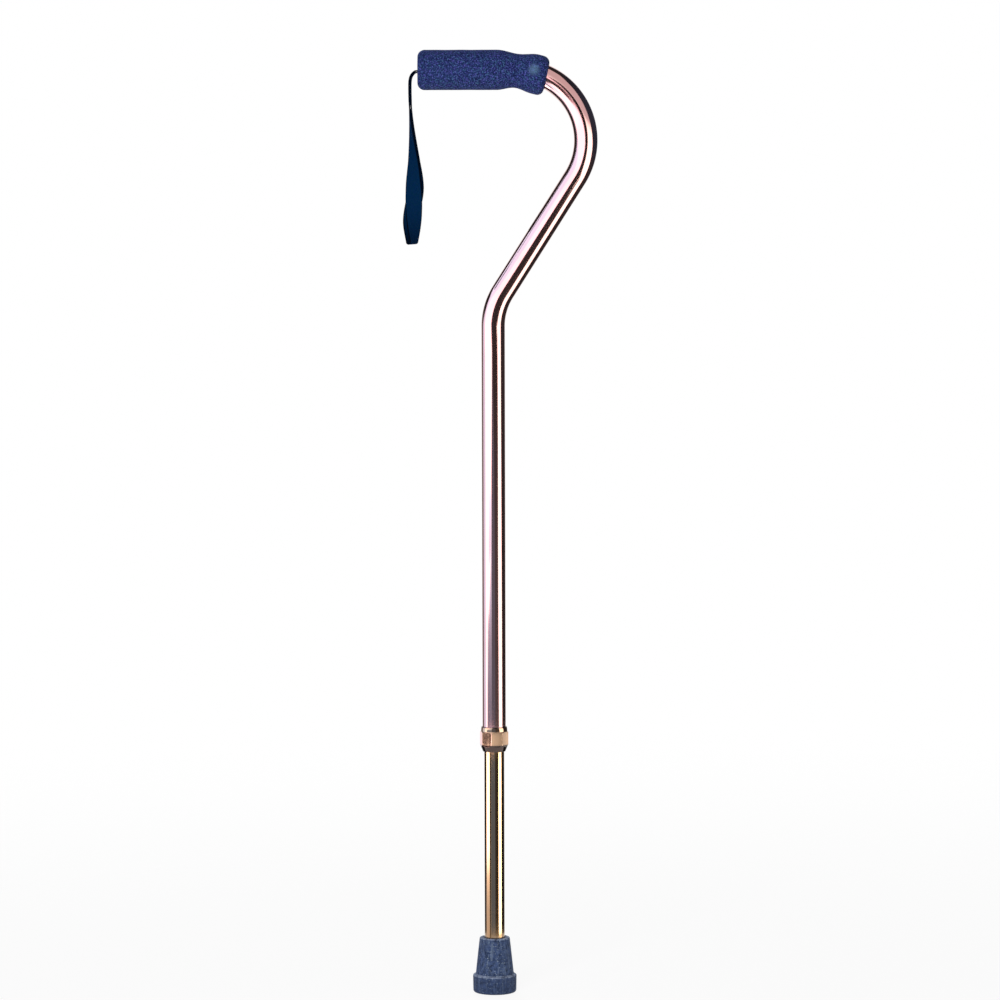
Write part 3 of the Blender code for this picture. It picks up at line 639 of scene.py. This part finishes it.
modify(lock_nut, "BEVEL", width=0.3 * mm, segments=3, limit_method="ANGLE",
       angle_limit=math.radians(18), harden_normals=False)
measure(lock_nut)

# Painted shade: on the lower chamfer and on the top of the dome, the nut is painted dark brown.
gold_aluminium = anodised("gold_anodised_aluminium", "#C79E7C", "#CCA486", 0.08,
                          unshaded_heights=(nut_floor_height + nut_chamfer, nut_floor_height + nut_length - 0.9 * mm))
dress(lock_nut, gold_aluminium, "nut", smooth=25)
modify(lock_nut, "WEIGHTED_NORMAL", weight=90, keep_sharp=True)
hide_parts("lock_nut")

# %% [markdown]
# ## Cards for the nut
# Flats are mirrors: each shows one even tone, whatever stands in its one direction. Seven low
# cards in front of the others give each flat its own level, from brown on the left to pale on the
# right, with a bright one for the edge between two flats. The camera looks down, so what a flat
# shows stands lower than the flat, and the cards are hung by that slope. Only the nut shows them.

# %% Cards for the flats
nut_card_distance = 0.25
nut_middle = nut_floor_height + nut_length / 2
fall = (camera_height - nut_middle) / camera_distance * nut_card_distance
for name, left, right, level, colour in (
        ("nut_far_left", -176, -74, 1.2, pink), ("nut_left", -76, -50, 0.27, pink),
        ("nut_edge", -55, 1, 3.2, pink), ("nut_front", -2, 30, 1.08, warm),
        ("nut_shade", 21, 114, 0.62, warm), ("nut_right", 109, 118, 1.4, warm),
        ("nut_far_right", 115, 176, 1.5, pink)):
    hang_card(name, 3, (nut_floor_height + 5 * mm - fall, left, right, level, colour, nut_card_distance),
              (nut_middle - fall, left, right, level, colour, nut_card_distance),
              (nut_floor_height + nut_length - 2 * mm - fall, left, right, level, colour, nut_card_distance))
    nut_card_distance -= 1 * mm

# %% [markdown]
# ## Rubber tip
# A moulded boot that grips the leg, with a flared foot and ring treads in its sole. Every edge is
# rounded, as rubber comes out of a mould. The outline runs from the floor of the socket, up its
# bore, over the mouth, down the outside, round the foot and across the treads.

# %% Rubber tip
tip_height = 0.0524
tip_floor = 0.0090
tip_bore = leg_tube_radius + 0.3 * mm
tip_mouth_radius = 0.0143
tip_waist_radius = 0.0152
tip_waist_height = 0.0434
tip_shoulder_radius = 0.0180
tip_flange_radius = 0.0206
tip_flange_top = 0.0166
tip_sole_radius = 0.0180
tip_edge_round = 0.0024
tread_depth = 1.2 * mm
tread_width = 2.0 * mm
tread_pitch = 4.2 * mm
rim = 1.2 * mm

outline = [(0, tip_floor), (tip_bore, tip_floor)]
outline += corner((tip_bore + rim / 2, tip_height - rim / 2), rim / 2, 180, 90)
outline += corner((tip_mouth_radius - rim, tip_height - rim), rim, 90, 0, 8)
outline += [(tip_waist_radius, tip_waist_height), (tip_shoulder_radius - 0.06 * mm, tip_flange_top + 1.8 * mm)]
outline += corner((tip_shoulder_radius + 1.0 * mm, tip_flange_top + 1.5 * mm), 1.0 * mm, 190, 262, 5)
outline += corner((tip_flange_radius - rim, tip_flange_top - rim + 0.35 * mm), rim, 82, 0, 7)
outline += corner((tip_sole_radius, tip_edge_round), tip_edge_round, 0, -90, 8)
for ring in range(3):
    outer = tip_sole_radius - tread_width - ring * tread_pitch
    inner = outer - tread_width
    outline += [(outer, 0), (outer - 0.15 * mm, tread_depth), (inner + 0.15 * mm, tread_depth), (inner, 0)]
outline.append((0, 0))
rubber_tip = turn("rubber_tip_boot", outline, steps=128)
measure(rubber_tip)


# %% [markdown]
# ## Moulded rubber
# Blue-grey rubber, matt from the sand-blasted mould and a little mottled. Pale bloom and street
# dust sit on it as small specks, and wiping has left faint upright streaks. Its two rims, round the
# mouth and over the foot, carry a painted highlight, and the foot below is painted a little darker,
# a painted shade. The specks are drawn a millimetre wide, as fine as the picture can show.

# %% Rubber finish
material, tree = new_material("moulded_grey_rubber")
place = add_node(tree, "TexCoord").outputs["Object"]
patches = add_node(tree, "TexNoise", {"Vector": place, "Scale": 1 / (3.2 * mm), "Detail": 4,
                                      "Roughness": 0.7})
upright = add_node(tree, "Mapping", {"Vector": place, "Scale": (1, 1, 0.06)})
streaks = add_node(tree, "TexNoise", {"Vector": upright.outputs[0], "Scale": 1 / (1.8 * mm),
                                      "Detail": 3})
grain = add_node(tree, "TexNoise", {"Vector": place, "Scale": 1 / (0.5 * mm), "Detail": 3})
specks = add_node(tree, "TexNoise", {"Vector": place, "Scale": 1 / (1.3 * mm), "Detail": 2,
                                     "Roughness": 0.7})
mottled = add_node(tree, "MapRange", {"Value": patches.outputs["Fac"], "From Min": 0.34,
                                      "From Max": 0.66})
body = add_node(tree, "Mix", {"Factor": mottled.outputs[0], "A": linear("#142138"),
                              "B": linear("#40527A")}, data_type="RGBA")
wiped = add_node(tree, "MapRange", {"Value": streaks.outputs["Fac"], "From Min": 0.52,
                                    "From Max": 0.72, "To Max": 0.5})
body = add_node(tree, "Mix", {"Factor": wiped.outputs[0], "A": body.outputs["Result"],
                              "B": linear("#6C7C96")}, data_type="RGBA")
dust = add_node(tree, "MapRange", {"Value": specks.outputs["Fac"], "From Min": 0.62,
                                   "From Max": 0.72, "To Max": 0.8})
body = add_node(tree, "Mix", {"Factor": dust.outputs[0], "A": body.outputs["Result"],
                              "B": linear("#A9BAC6")}, data_type="RGBA")
height = add_node(tree, "SeparateXYZ", {"Vector": place}).outputs["Z"]
# Painted highlight: a pale band is painted on the rim round the mouth and on the rim over the foot.
for rim_height, amount in ((tip_height, 0.9), (tip_flange_top + 0.3 * mm, 0.9)):
    there = add_node(tree, "Math", {0: height, 1: rim_height, 2: 0.9 * mm}, operation="COMPARE")
    painted_highlight = add_node(tree, "MapRange", {"Value": patches.outputs["Fac"], "From Min": 0.35,
                                         "From Max": 0.65, "To Max": amount})
    painted_highlight = add_node(tree, "Math", {0: there.outputs[0], 1: painted_highlight.outputs[0]}, operation="MULTIPLY")
    body = add_node(tree, "Mix", {"Factor": painted_highlight.outputs[0], "A": body.outputs["Result"],
                                  "B": linear("#98A4BC")}, data_type="RGBA")
# Painted shade: below the flange's top, the foot is painted darker.
painted_foot_shade = add_node(tree, "MapRange", {"Value": height, "From Min": tip_flange_top,
                                   "From Max": tip_flange_top - 2 * mm, "To Max": 0.35})
body = add_node(tree, "Mix", {"Factor": painted_foot_shade.outputs[0], "A": body.outputs["Result"],
                              "B": linear("#1B2843")}, data_type="RGBA")
bump = add_node(tree, "Bump", {"Height": grain.outputs["Fac"], "Strength": 0.6, "Distance": 0.08 * mm})
show(tree, add_node(tree, "BsdfPrincipled", {
    "Base Color": body.outputs["Result"], "Roughness": 0.72, "IOR": 1.52,
    "Specular IOR Level": 0.25, "Normal": bump.outputs[0]}))
dress(rubber_tip, material, "leg")
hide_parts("rubber_tip")

# %% [markdown]
# ## Foam grip
# A sleeve of dipped nitrile foam, closed at its free end, that narrows to a neck and swells to a
# lip where the tube leaves it. It is turned straight, as an outline of radius against length, and
# then bent along the grip's centreline, which is level at first and then one shallow arc. The lip
# is sheared a little towards upright. Foam is never quite even, so its surface is pushed in and out
# by a fifth of a millimetre afterwards.

# %% Outline and centreline of the grip
grip_end_x = -0.0700
grip_radius = 0.0187
grip_neck_radius = 0.0159
grip_narrowing = 0.047
grip_neck = 0.0285
grip_lip_length = 0.0100
grip_end_round = 0.0065
grip_lip_round = 0.0060
grip_round_crook = 0.030

lip_turn = grip_round_crook / crook_radius
lip_centre = crook_centre + Vector((math.sin(lip_turn), 0, math.cos(lip_turn))) * crook_radius
lip_drop = grip_axis_z - lip_centre.z
arc_run = math.sqrt(grip_narrowing ** 2 - lip_drop ** 2)
arc_radius = (arc_run ** 2 + lip_drop ** 2) / (2 * lip_drop)
arc_turn = math.asin(arc_run / arc_radius)
level_length = lip_centre.x - arc_run - grip_end_x
grip_length = level_length + arc_radius * arc_turn


def ease(value, start, end):
    """Rise from 0 at start to 1 at end, level at both."""
    t = min(max((value - start) / (end - start), 0.0), 1.0)
    return t * t * (3 - 2 * t)


def grip_outline(distance):
    """Radius of the foam at a distance from its closed end, without its rounded rims."""
    to_lip = grip_length - distance
    narrowed = ease(-to_lip, -grip_narrowing, -grip_neck)
    swollen = ease(-to_lip, -grip_neck, -grip_lip_length)
    return grip_radius + (grip_neck_radius - grip_radius) * (narrowed - swollen)


# %% Foam grip
end_arc = corner((grip_radius - grip_end_round, grip_end_round), grip_end_round, -90, 0, 10)
lip_arc = corner((grip_radius - grip_lip_round, grip_length - grip_lip_round), grip_lip_round, 0, 90, 10)
outline = [(0, 0), (0.006, 0), (0.011, 0)] + end_arc
outline += [(grip_outline(d), d) for d in
            [end_arc[-1][1] + (lip_arc[0][1] - end_arc[-1][1]) * i / 90 for i in range(1, 90)]]
outline += lip_arc + [(0.0125, grip_length), (0.006, grip_length), (0, grip_length)]
foam_grip = turn("foam_grip_sleeve", outline, steps=128, axis=(1, 0, 0))

bpy.ops.object.select_all(action="DESELECT")
bpy.ops.curve.primitive_bezier_curve_add()
centreline = bpy.context.object
spline = centreline.data.splines[0]
spline.bezier_points.add(1)
centreline.data.resolution_u = 128
pull = 4 / 3 * math.tan(arc_turn / 4) * arc_radius
lip_along = Vector((math.cos(arc_turn), 0, -math.sin(arc_turn)))
arc_start = Vector((lip_centre.x - arc_run, 0, grip_axis_z))
for point, (co, before, after) in zip(spline.bezier_points, (
        (Vector((grip_end_x, 0, grip_axis_z)), 0.01, level_length / 3),
        (arc_start, level_length / 3, pull), (lip_centre, pull, 0.01))):
    along = lip_along if co is lip_centre else Vector((1, 0, 0))
    point.handle_left_type = point.handle_right_type = "FREE"
    point.co, point.handle_left, point.handle_right = co, co - along * before, co + along * after
modify(foam_grip, "CURVE", object=centreline, deform_axis="POS_X")
bpy.data.objects.remove(centreline, do_unlink=True)

for vertex in foam_grip.data.vertices:
    near_lip = ease(vertex.co.x, lip_centre.x - 0.018, lip_centre.x)
    vertex.co.x -= 0.07 * (vertex.co.z - lip_centre.z) * near_lip
    swell = noise.noise(vertex.co / 0.014) + 0.5 * noise.noise(vertex.co / 0.006)
    vertex.co += vertex.normal * swell * 0.16 * mm

cut_with(foam_grip, bend_tube("bore", handle_tube_radius + 0.3 * mm, -0.0660, 0.5, capped=True))
strap_z = 0.8692
slot = start_piece("slot", bpy.ops.mesh.primitive_cube_add, size=1.0, location=(-0.0690, 0, strap_z),
                   scale=(0.012, 0.0166, 0.0042))
bpy.ops.mesh.bevel(offset=1.2 * mm, segments=4, affect="EDGES")
bpy.ops.object.mode_set(mode="OBJECT")
cut_with(foam_grip, slot)
measure(foam_grip)

# %% [markdown]
# ## Dipped foam
# Nitrile foam is full of tiny cells. Cut and dipped, they leave a matt, speckled skin: cells that
# face the light are paler, some violet and some teal, and open pores are darker. Real cells are
# finer than the picture can show, so the speckle is drawn a little over a millimetre wide. On the
# lip's front a pale spot is painted on, a painted highlight.

# %% Foam finish
material, tree = new_material("dipped_nitrile_foam")
place = add_node(tree, "TexCoord").outputs["Object"]
cells = add_node(tree, "TexNoise", {"Vector": place, "Scale": 1 / (1.25 * mm), "Detail": 3,
                                    "Roughness": 0.75})
pores = add_node(tree, "TexVoronoi", {"Vector": place, "Scale": 1 / (1.1 * mm)})
cloud = add_node(tree, "TexNoise", {"Vector": place, "Scale": 1 / (14 * mm), "Detail": 3})
hue = add_node(tree, "TexNoise", {"Vector": place, "Scale": 1 / (3 * mm), "Detail": 1})
navy = add_node(tree, "Mix", {"Factor": cloud.outputs["Fac"], "A": linear("#14214F"),
                              "B": linear("#1D2D64")}, data_type="RGBA")
violet = add_node(tree, "MapRange", {"Value": hue.outputs["Fac"], "From Min": 0.4, "From Max": 0.6})
speck = add_node(tree, "Mix", {"Factor": violet.outputs[0], "A": linear("#4F7AA4"),
                               "B": linear("#6463C4")}, data_type="RGBA")
pale = add_node(tree, "MapRange", {"Value": cells.outputs["Fac"], "From Min": 0.50,
                                   "From Max": 0.66, "To Max": 0.9})
navy = add_node(tree, "Mix", {"Factor": pale.outputs[0], "A": navy.outputs["Result"],
                              "B": speck.outputs["Result"]}, data_type="RGBA")
dark = add_node(tree, "MapRange", {"Value": cells.outputs["Fac"], "From Min": 0.48,
                                   "From Max": 0.34, "To Max": 0.85})
navy = add_node(tree, "Mix", {"Factor": dark.outputs[0], "A": navy.outputs["Result"],
                              "B": linear("#04081E")}, data_type="RGBA")
# Painted highlight: a pale spot is painted on the lip's front.
highlight_spot_distance = add_node(tree, "VectorMath", {0: place, 1: (0.0385, -0.0165, 0.8710)}, operation="DISTANCE")
painted_highlight = add_node(tree, "MapRange", {"Value": highlight_spot_distance.outputs["Value"], "From Min": 7.5 * mm,
                                     "From Max": 1.5 * mm, "To Max": 0.4},
                  interpolation_type="SMOOTHSTEP")
navy = add_node(tree, "Mix", {"Factor": painted_highlight.outputs[0], "A": navy.outputs["Result"],
                              "B": linear("#6A90AC")}, data_type="RGBA")
height = add_node(tree, "Math", {0: cells.outputs["Fac"], 1: pores.outputs["Distance"]},
                  operation="ADD")
bump = add_node(tree, "Bump", {"Height": height.outputs[0], "Strength": 0.8, "Distance": 0.18 * mm})
show(tree, add_node(tree, "BsdfPrincipled", {
    "Base Color": navy.outputs["Result"], "Roughness": 0.88, "IOR": 1.5, "Specular IOR Level": 0.15,
    "Sheen Weight": 0.05, "Sheen Roughness": 0.5, "Sheen Tint": linear("#8C96D8"),
    "Normal": bump.outputs[0]}))
dress(foam_grip, material, "handle_shaft", smooth=60)
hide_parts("foam_grip")

# %% [markdown]
# ## Wrist strap
# One loop of nylon webbing, 15.6 mm wide and 1.4 mm thick. It runs round a pin inside the tube,
# out through a slot in the grip's end, bends down, hangs, twists nearly half a turn and folds at
# the bottom. A grid is laid along that path, row by row, and Solidify makes it thick. The path's
# points are worked out one by one, because a hanging, twisted tape has no single curve that a modifier could
# use.

# %% Path of the webbing
strap_width = 15.6 * mm
strap_thickness = 1.4 * mm
layers_apart = strap_thickness + 0.14 * mm
pivot = Vector((-0.0720, 0, strap_z))
toggle_x = -0.0501
strap_drop = 0.161
fold_radius = 1.9 * mm
set_out = Vector((-math.cos(math.radians(40)), 0, -math.sin(math.radians(40))))


def strap_out(drop):
    """How far outside the swing line the loop hangs at a depth below its bend."""
    inwards = ease(drop, 0.0150, 0.64 * strap_drop)
    outwards = ease(drop, 0.66 * strap_drop, 0.90 * strap_drop)
    return 0.0051 + (0.0009 - 0.0051) * inwards + (0.0036 - 0.0009) * outwards


def half_opening(drop):
    """Half the distance between the middles of the two legs at a depth."""
    opened = ease(drop, 0.50 * strap_drop, 0.75 * strap_drop)
    closed = ease(drop, 0.82 * strap_drop, strap_drop - fold_radius)
    return layers_apart / 2 + (0.0037 - layers_apart / 2) * opened - (0.0037 - fold_radius) * closed


def strap_middles():
    """Middle line between the two legs, from the pin inside the tube to the fold at the bottom."""
    fillet = 3.0 * mm
    run = fillet * math.tan(math.radians(20))
    level_end = pivot + Vector((run, 0, 0))
    points = [Vector((toggle_x + (level_end.x - toggle_x) * i / 16, 0, strap_z)) for i in range(17)]
    points += [level_end + Vector((-fillet * math.sin(t), 0, -fillet * (1 - math.cos(t))))
               for t in (math.radians(40) * i / 6 for i in range(1, 7))]
    start = pivot + set_out * 1.9 * mm
    bend_end = pivot + Vector((-0.0051, 0, -0.0150))
    points += interpolate_bezier(start, start + set_out * 0.005, bend_end + Vector((0, 0, 0.005)),
                                 bend_end, 17)
    fold_drop = strap_drop - fold_radius - strap_thickness / 2
    for i in range(1, 81):
        drop = 0.0150 + (fold_drop - 0.0150) * i / 80
        points.append(pivot + Vector((-strap_out(drop), 0, -drop)))
    return points


# %% Webbing as one endless band
middles = strap_middles()
outer, inner = [], []
for i, middle in enumerate(middles):
    along = (middles[min(i + 1, len(middles) - 1)] - middles[max(i - 1, 0)]).normalized()
    drop = pivot.z - middle.z
    twist = math.radians(330) * ease(drop, 0.15 * strap_drop, 1.90 * strap_drop)
    width = Vector((-math.sin(twist), math.cos(twist), 0))
    inwards = along.cross(width).normalized()
    half = half_opening(drop)
    if middle.x > toggle_x - 3.6 * mm and drop < 1 * mm:
        half += (2.5 * mm - layers_apart / 2) * ease(middle.x, toggle_x - 3.6 * mm, toggle_x)
    outer.append((middle - inwards * half, width))
    inner.append((middle + inwards * half, width))
fold = [(middles[-1] - inwards * fold_radius * math.cos(t) - Vector((0, 0, fold_radius * math.sin(t))), width)
        for t in (math.pi * i / 12 for i in range(1, 12))]
eye = [(Vector((toggle_x + 2.5 * mm * math.sin(t), 0, strap_z - 2.5 * mm * math.cos(t))), Vector((0, 1, 0)))
       for t in (math.pi * i / 14 for i in range(1, 14))]
rows = outer + fold + inner[::-1] + eye
lengths = [0.0]
for (first, _), (second, _) in zip(rows, rows[1:] + rows[:1]):
    lengths.append(lengths[-1] + (second - first).length)
print("webbing of the loop", round(lengths[-1], 3), "m")

across = 10
strap = start_piece("webbing_loop", bpy.ops.mesh.primitive_grid_add, x_subdivisions=across,
                    y_subdivisions=len(rows), size=1.0)
bpy.ops.object.mode_set(mode="OBJECT")
tape = strap.data.uv_layers[0]
tape.name = "tape"
for loop in strap.data.loops:
    co = strap.data.vertices[loop.vertex_index].co
    row = round((co.y + 0.5) * len(rows))
    tape.data[loop.index].uv = (co.x * strap_width, lengths[row])
for vertex in strap.data.vertices:
    middle, width = rows[round((vertex.co.y + 0.5) * len(rows)) % len(rows)]
    vertex.co = middle + width * strap_width * vertex.co.x
bpy.ops.object.mode_set(mode="EDIT")
close_piece()
modify(strap, "SOLIDIFY", thickness=strap_thickness, offset=0, use_even_offset=True)
modify(strap, "BEVEL", width=0.35 * mm, segments=3, limit_method="ANGLE", angle_limit=math.radians(60))
measure(strap)

# %% [markdown]
# ## Woven webbing
# Plain woven nylon: thick warp threads run along the tape and thin weft crosses them, so the face
# is a field of small ribs. Both edges are painted nearly black, a painted shade. The thread spacing
# is real, 1.3 mm along and 0.9 mm across, and it follows the tape's own map, which is its flat
# length and width in metres.

# %% Webbing finish
material, tree = new_material("woven_nylon_webbing")
place = add_node(tree, "UVMap", uv_map="tape").outputs["UV"]
parts = add_node(tree, "SeparateXYZ", {"Vector": place})
warp = add_node(tree, "Math", {0: parts.outputs["X"], 1: 2 * math.pi / (0.9 * mm)}, operation="MULTIPLY")
warp = add_node(tree, "Math", {0: warp.outputs[0]}, operation="SINE")
weft = add_node(tree, "Math", {0: parts.outputs["Y"], 1: 2 * math.pi / (1.3 * mm)}, operation="MULTIPLY")
weft = add_node(tree, "Math", {0: weft.outputs[0]}, operation="SINE")
weave = add_node(tree, "Math", {0: warp.outputs[0], 1: weft.outputs[0]}, operation="MULTIPLY")
height = add_node(tree, "MapRange", {"Value": weave.outputs[0], "From Min": -1.0})
fibre = add_node(tree, "TexNoise", {"Vector": place, "Scale": 1 / (3 * mm), "Detail": 4})
navy = add_node(tree, "Mix", {"Factor": height.outputs[0], "A": linear("#00142E"),
                              "B": linear("#022C58")}, data_type="RGBA")
worn = add_node(tree, "MapRange", {"Value": fibre.outputs["Fac"], "From Min": 0.4, "From Max": 0.7,
                                   "To Max": 0.5})
navy = add_node(tree, "Mix", {"Factor": worn.outputs[0], "A": navy.outputs["Result"],
                              "B": linear("#01283C")}, data_type="RGBA")
# Painted shade: both edges of the tape are painted nearly black.
from_middle = add_node(tree, "Math", {0: parts.outputs["X"]}, operation="ABSOLUTE")
painted_edge_shade = add_node(tree, "MapRange", {"Value": from_middle.outputs[0],
                                       "From Min": strap_width / 2 - 0.9 * mm,
                                       "From Max": strap_width / 2 - 0.3 * mm, "To Max": 0.9})
navy = add_node(tree, "Mix", {"Factor": painted_edge_shade.outputs[0], "A": navy.outputs["Result"],
                              "B": linear("#010309")}, data_type="RGBA")
bump = add_node(tree, "Bump", {"Height": height.outputs[0], "Strength": 0.9, "Distance": 0.12 * mm})
show(tree, add_node(tree, "BsdfPrincipled", {
    "Base Color": navy.outputs["Result"], "Roughness": 0.85, "IOR": 1.53, "Specular IOR Level": 0.02,
    "Normal": bump.outputs[0]}))
dress(strap, material, None, smooth=50)
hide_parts("wrist_strap", "strap_anchor")
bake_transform(strap)

# %% [markdown]
# ## Snap button
# A small domed pin on a spring leaf inside the leg. It stands out through both tubes at the back
# and holds the height. It is turned as one piece with the flange that keeps it in the leg.

# %% Snap button
button_radius = 3.0 * mm
button_seat = 5.74 * mm + 1.0 * mm
button_tip = handle_tube_radius + 2.2 * mm
button_dome = 1.6 * mm
outline = [(button_radius * math.sin(math.pi / 2 * i / 12),
            button_tip - button_dome * (1 - math.cos(math.pi / 2 * i / 12))) for i in range(13)]
outline += [(button_radius, button_seat), (4.3 * mm, button_seat), (4.3 * mm, 5.74 * mm), (0, 5.74 * mm)]
snap_button = turn("snap_button_pin", outline, steps=64, base=(0, 0, button_z), axis=(0, 1, 0))
measure(snap_button)


# %% [markdown]
# ## Small metal and plastic pieces
# The button and the washer are zinc plated steel, which is a soft, slightly cloudy grey. The leaf
# spring is blued strip. The plug in the tube's end is moulded nylon and the split bush is acetal.
# Most of them are hidden, so their CAD solids stay as they are and only take a real finish. The
# leaf spring is a folded strip whose back flexes with the button. A copy of it takes its place
# with a finish of its own, and stays where it is.

# %% Finishes of the small pieces
def plain_finish(name, dark, light, grain, roughness, metallic=0.0, height=0.02 * mm):
    """A finish with slight clouds of colour and a fine grain."""
    material, tree = new_material(name)
    place = add_node(tree, "TexCoord").outputs["Object"]
    cloud = add_node(tree, "TexNoise", {"Vector": place, "Scale": 1 / grain, "Detail": 3})
    colour = add_node(tree, "Mix", {"Factor": cloud.outputs["Fac"], "A": linear(dark),
                                    "B": linear(light)}, data_type="RGBA")
    fine = add_node(tree, "TexNoise", {"Vector": place, "Scale": 6 / grain, "Detail": 2})
    bump = add_node(tree, "Bump", {"Height": fine.outputs["Fac"], "Strength": 0.5, "Distance": height})
    show(tree, add_node(tree, "BsdfPrincipled", {
        "Base Color": colour.outputs["Result"], "Metallic": metallic, "Roughness": roughness,
        "Normal": bump.outputs[0]}))
    return material


zinc_steel = plain_finish("zinc_plated_steel", "#A9ABAD", "#C8CACB", 2.0 * mm, 0.28, 1.0, 0.004 * mm)
spring_steel = plain_finish("blued_spring_steel", "#5F6268", "#7E8085", 3.0 * mm, 0.33, 1.0, 0.003 * mm)
black_nylon = plain_finish("moulded_black_nylon", "#17181A", "#232427", 2.0 * mm, 0.5)
white_acetal = plain_finish("moulded_white_acetal", "#DEDCD3", "#E8E6DF", 3.0 * mm, 0.42)

dress(snap_button, zinc_steel, "button")
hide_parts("snap_button")
for node, finish in (("handle_end_plug", black_nylon), ("strap_toggle", zinc_steel),
                     ("clamp_bush", white_acetal), ("tip_washer", zinc_steel)):
    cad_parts[node].data.materials.clear()
    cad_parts[node].data.materials.append(finish)

leaf = bpy.data.objects.new("button_spring_leaf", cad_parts["button_spring"].data.copy())
bpy.context.scene.collection.objects.link(leaf)
bpy.ops.object.select_all(action="DESELECT")
leaf.select_set(True)
bpy.context.view_layer.objects.active = leaf
bpy.ops.object.mode_set(mode="EDIT")
close_piece()
measure(leaf)
dress(leaf, spring_steel, None)
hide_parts("button_spring")
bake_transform(leaf)

# %% [markdown]
# ## Check the size
# The dressed cane has to fill the same box as its solids. Both boxes are printed for comparison.

# %% Compare the boxes and finish
visual_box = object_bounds()
sizes = {"cad": [list(corner) for corner in cad_box], "visual": [list(corner) for corner in visual_box]}
for label, (low, high) in sizes.items():
    print(label, "size in mm:", [round((h - l) / mm, 1) for l, h in zip(low, high)])
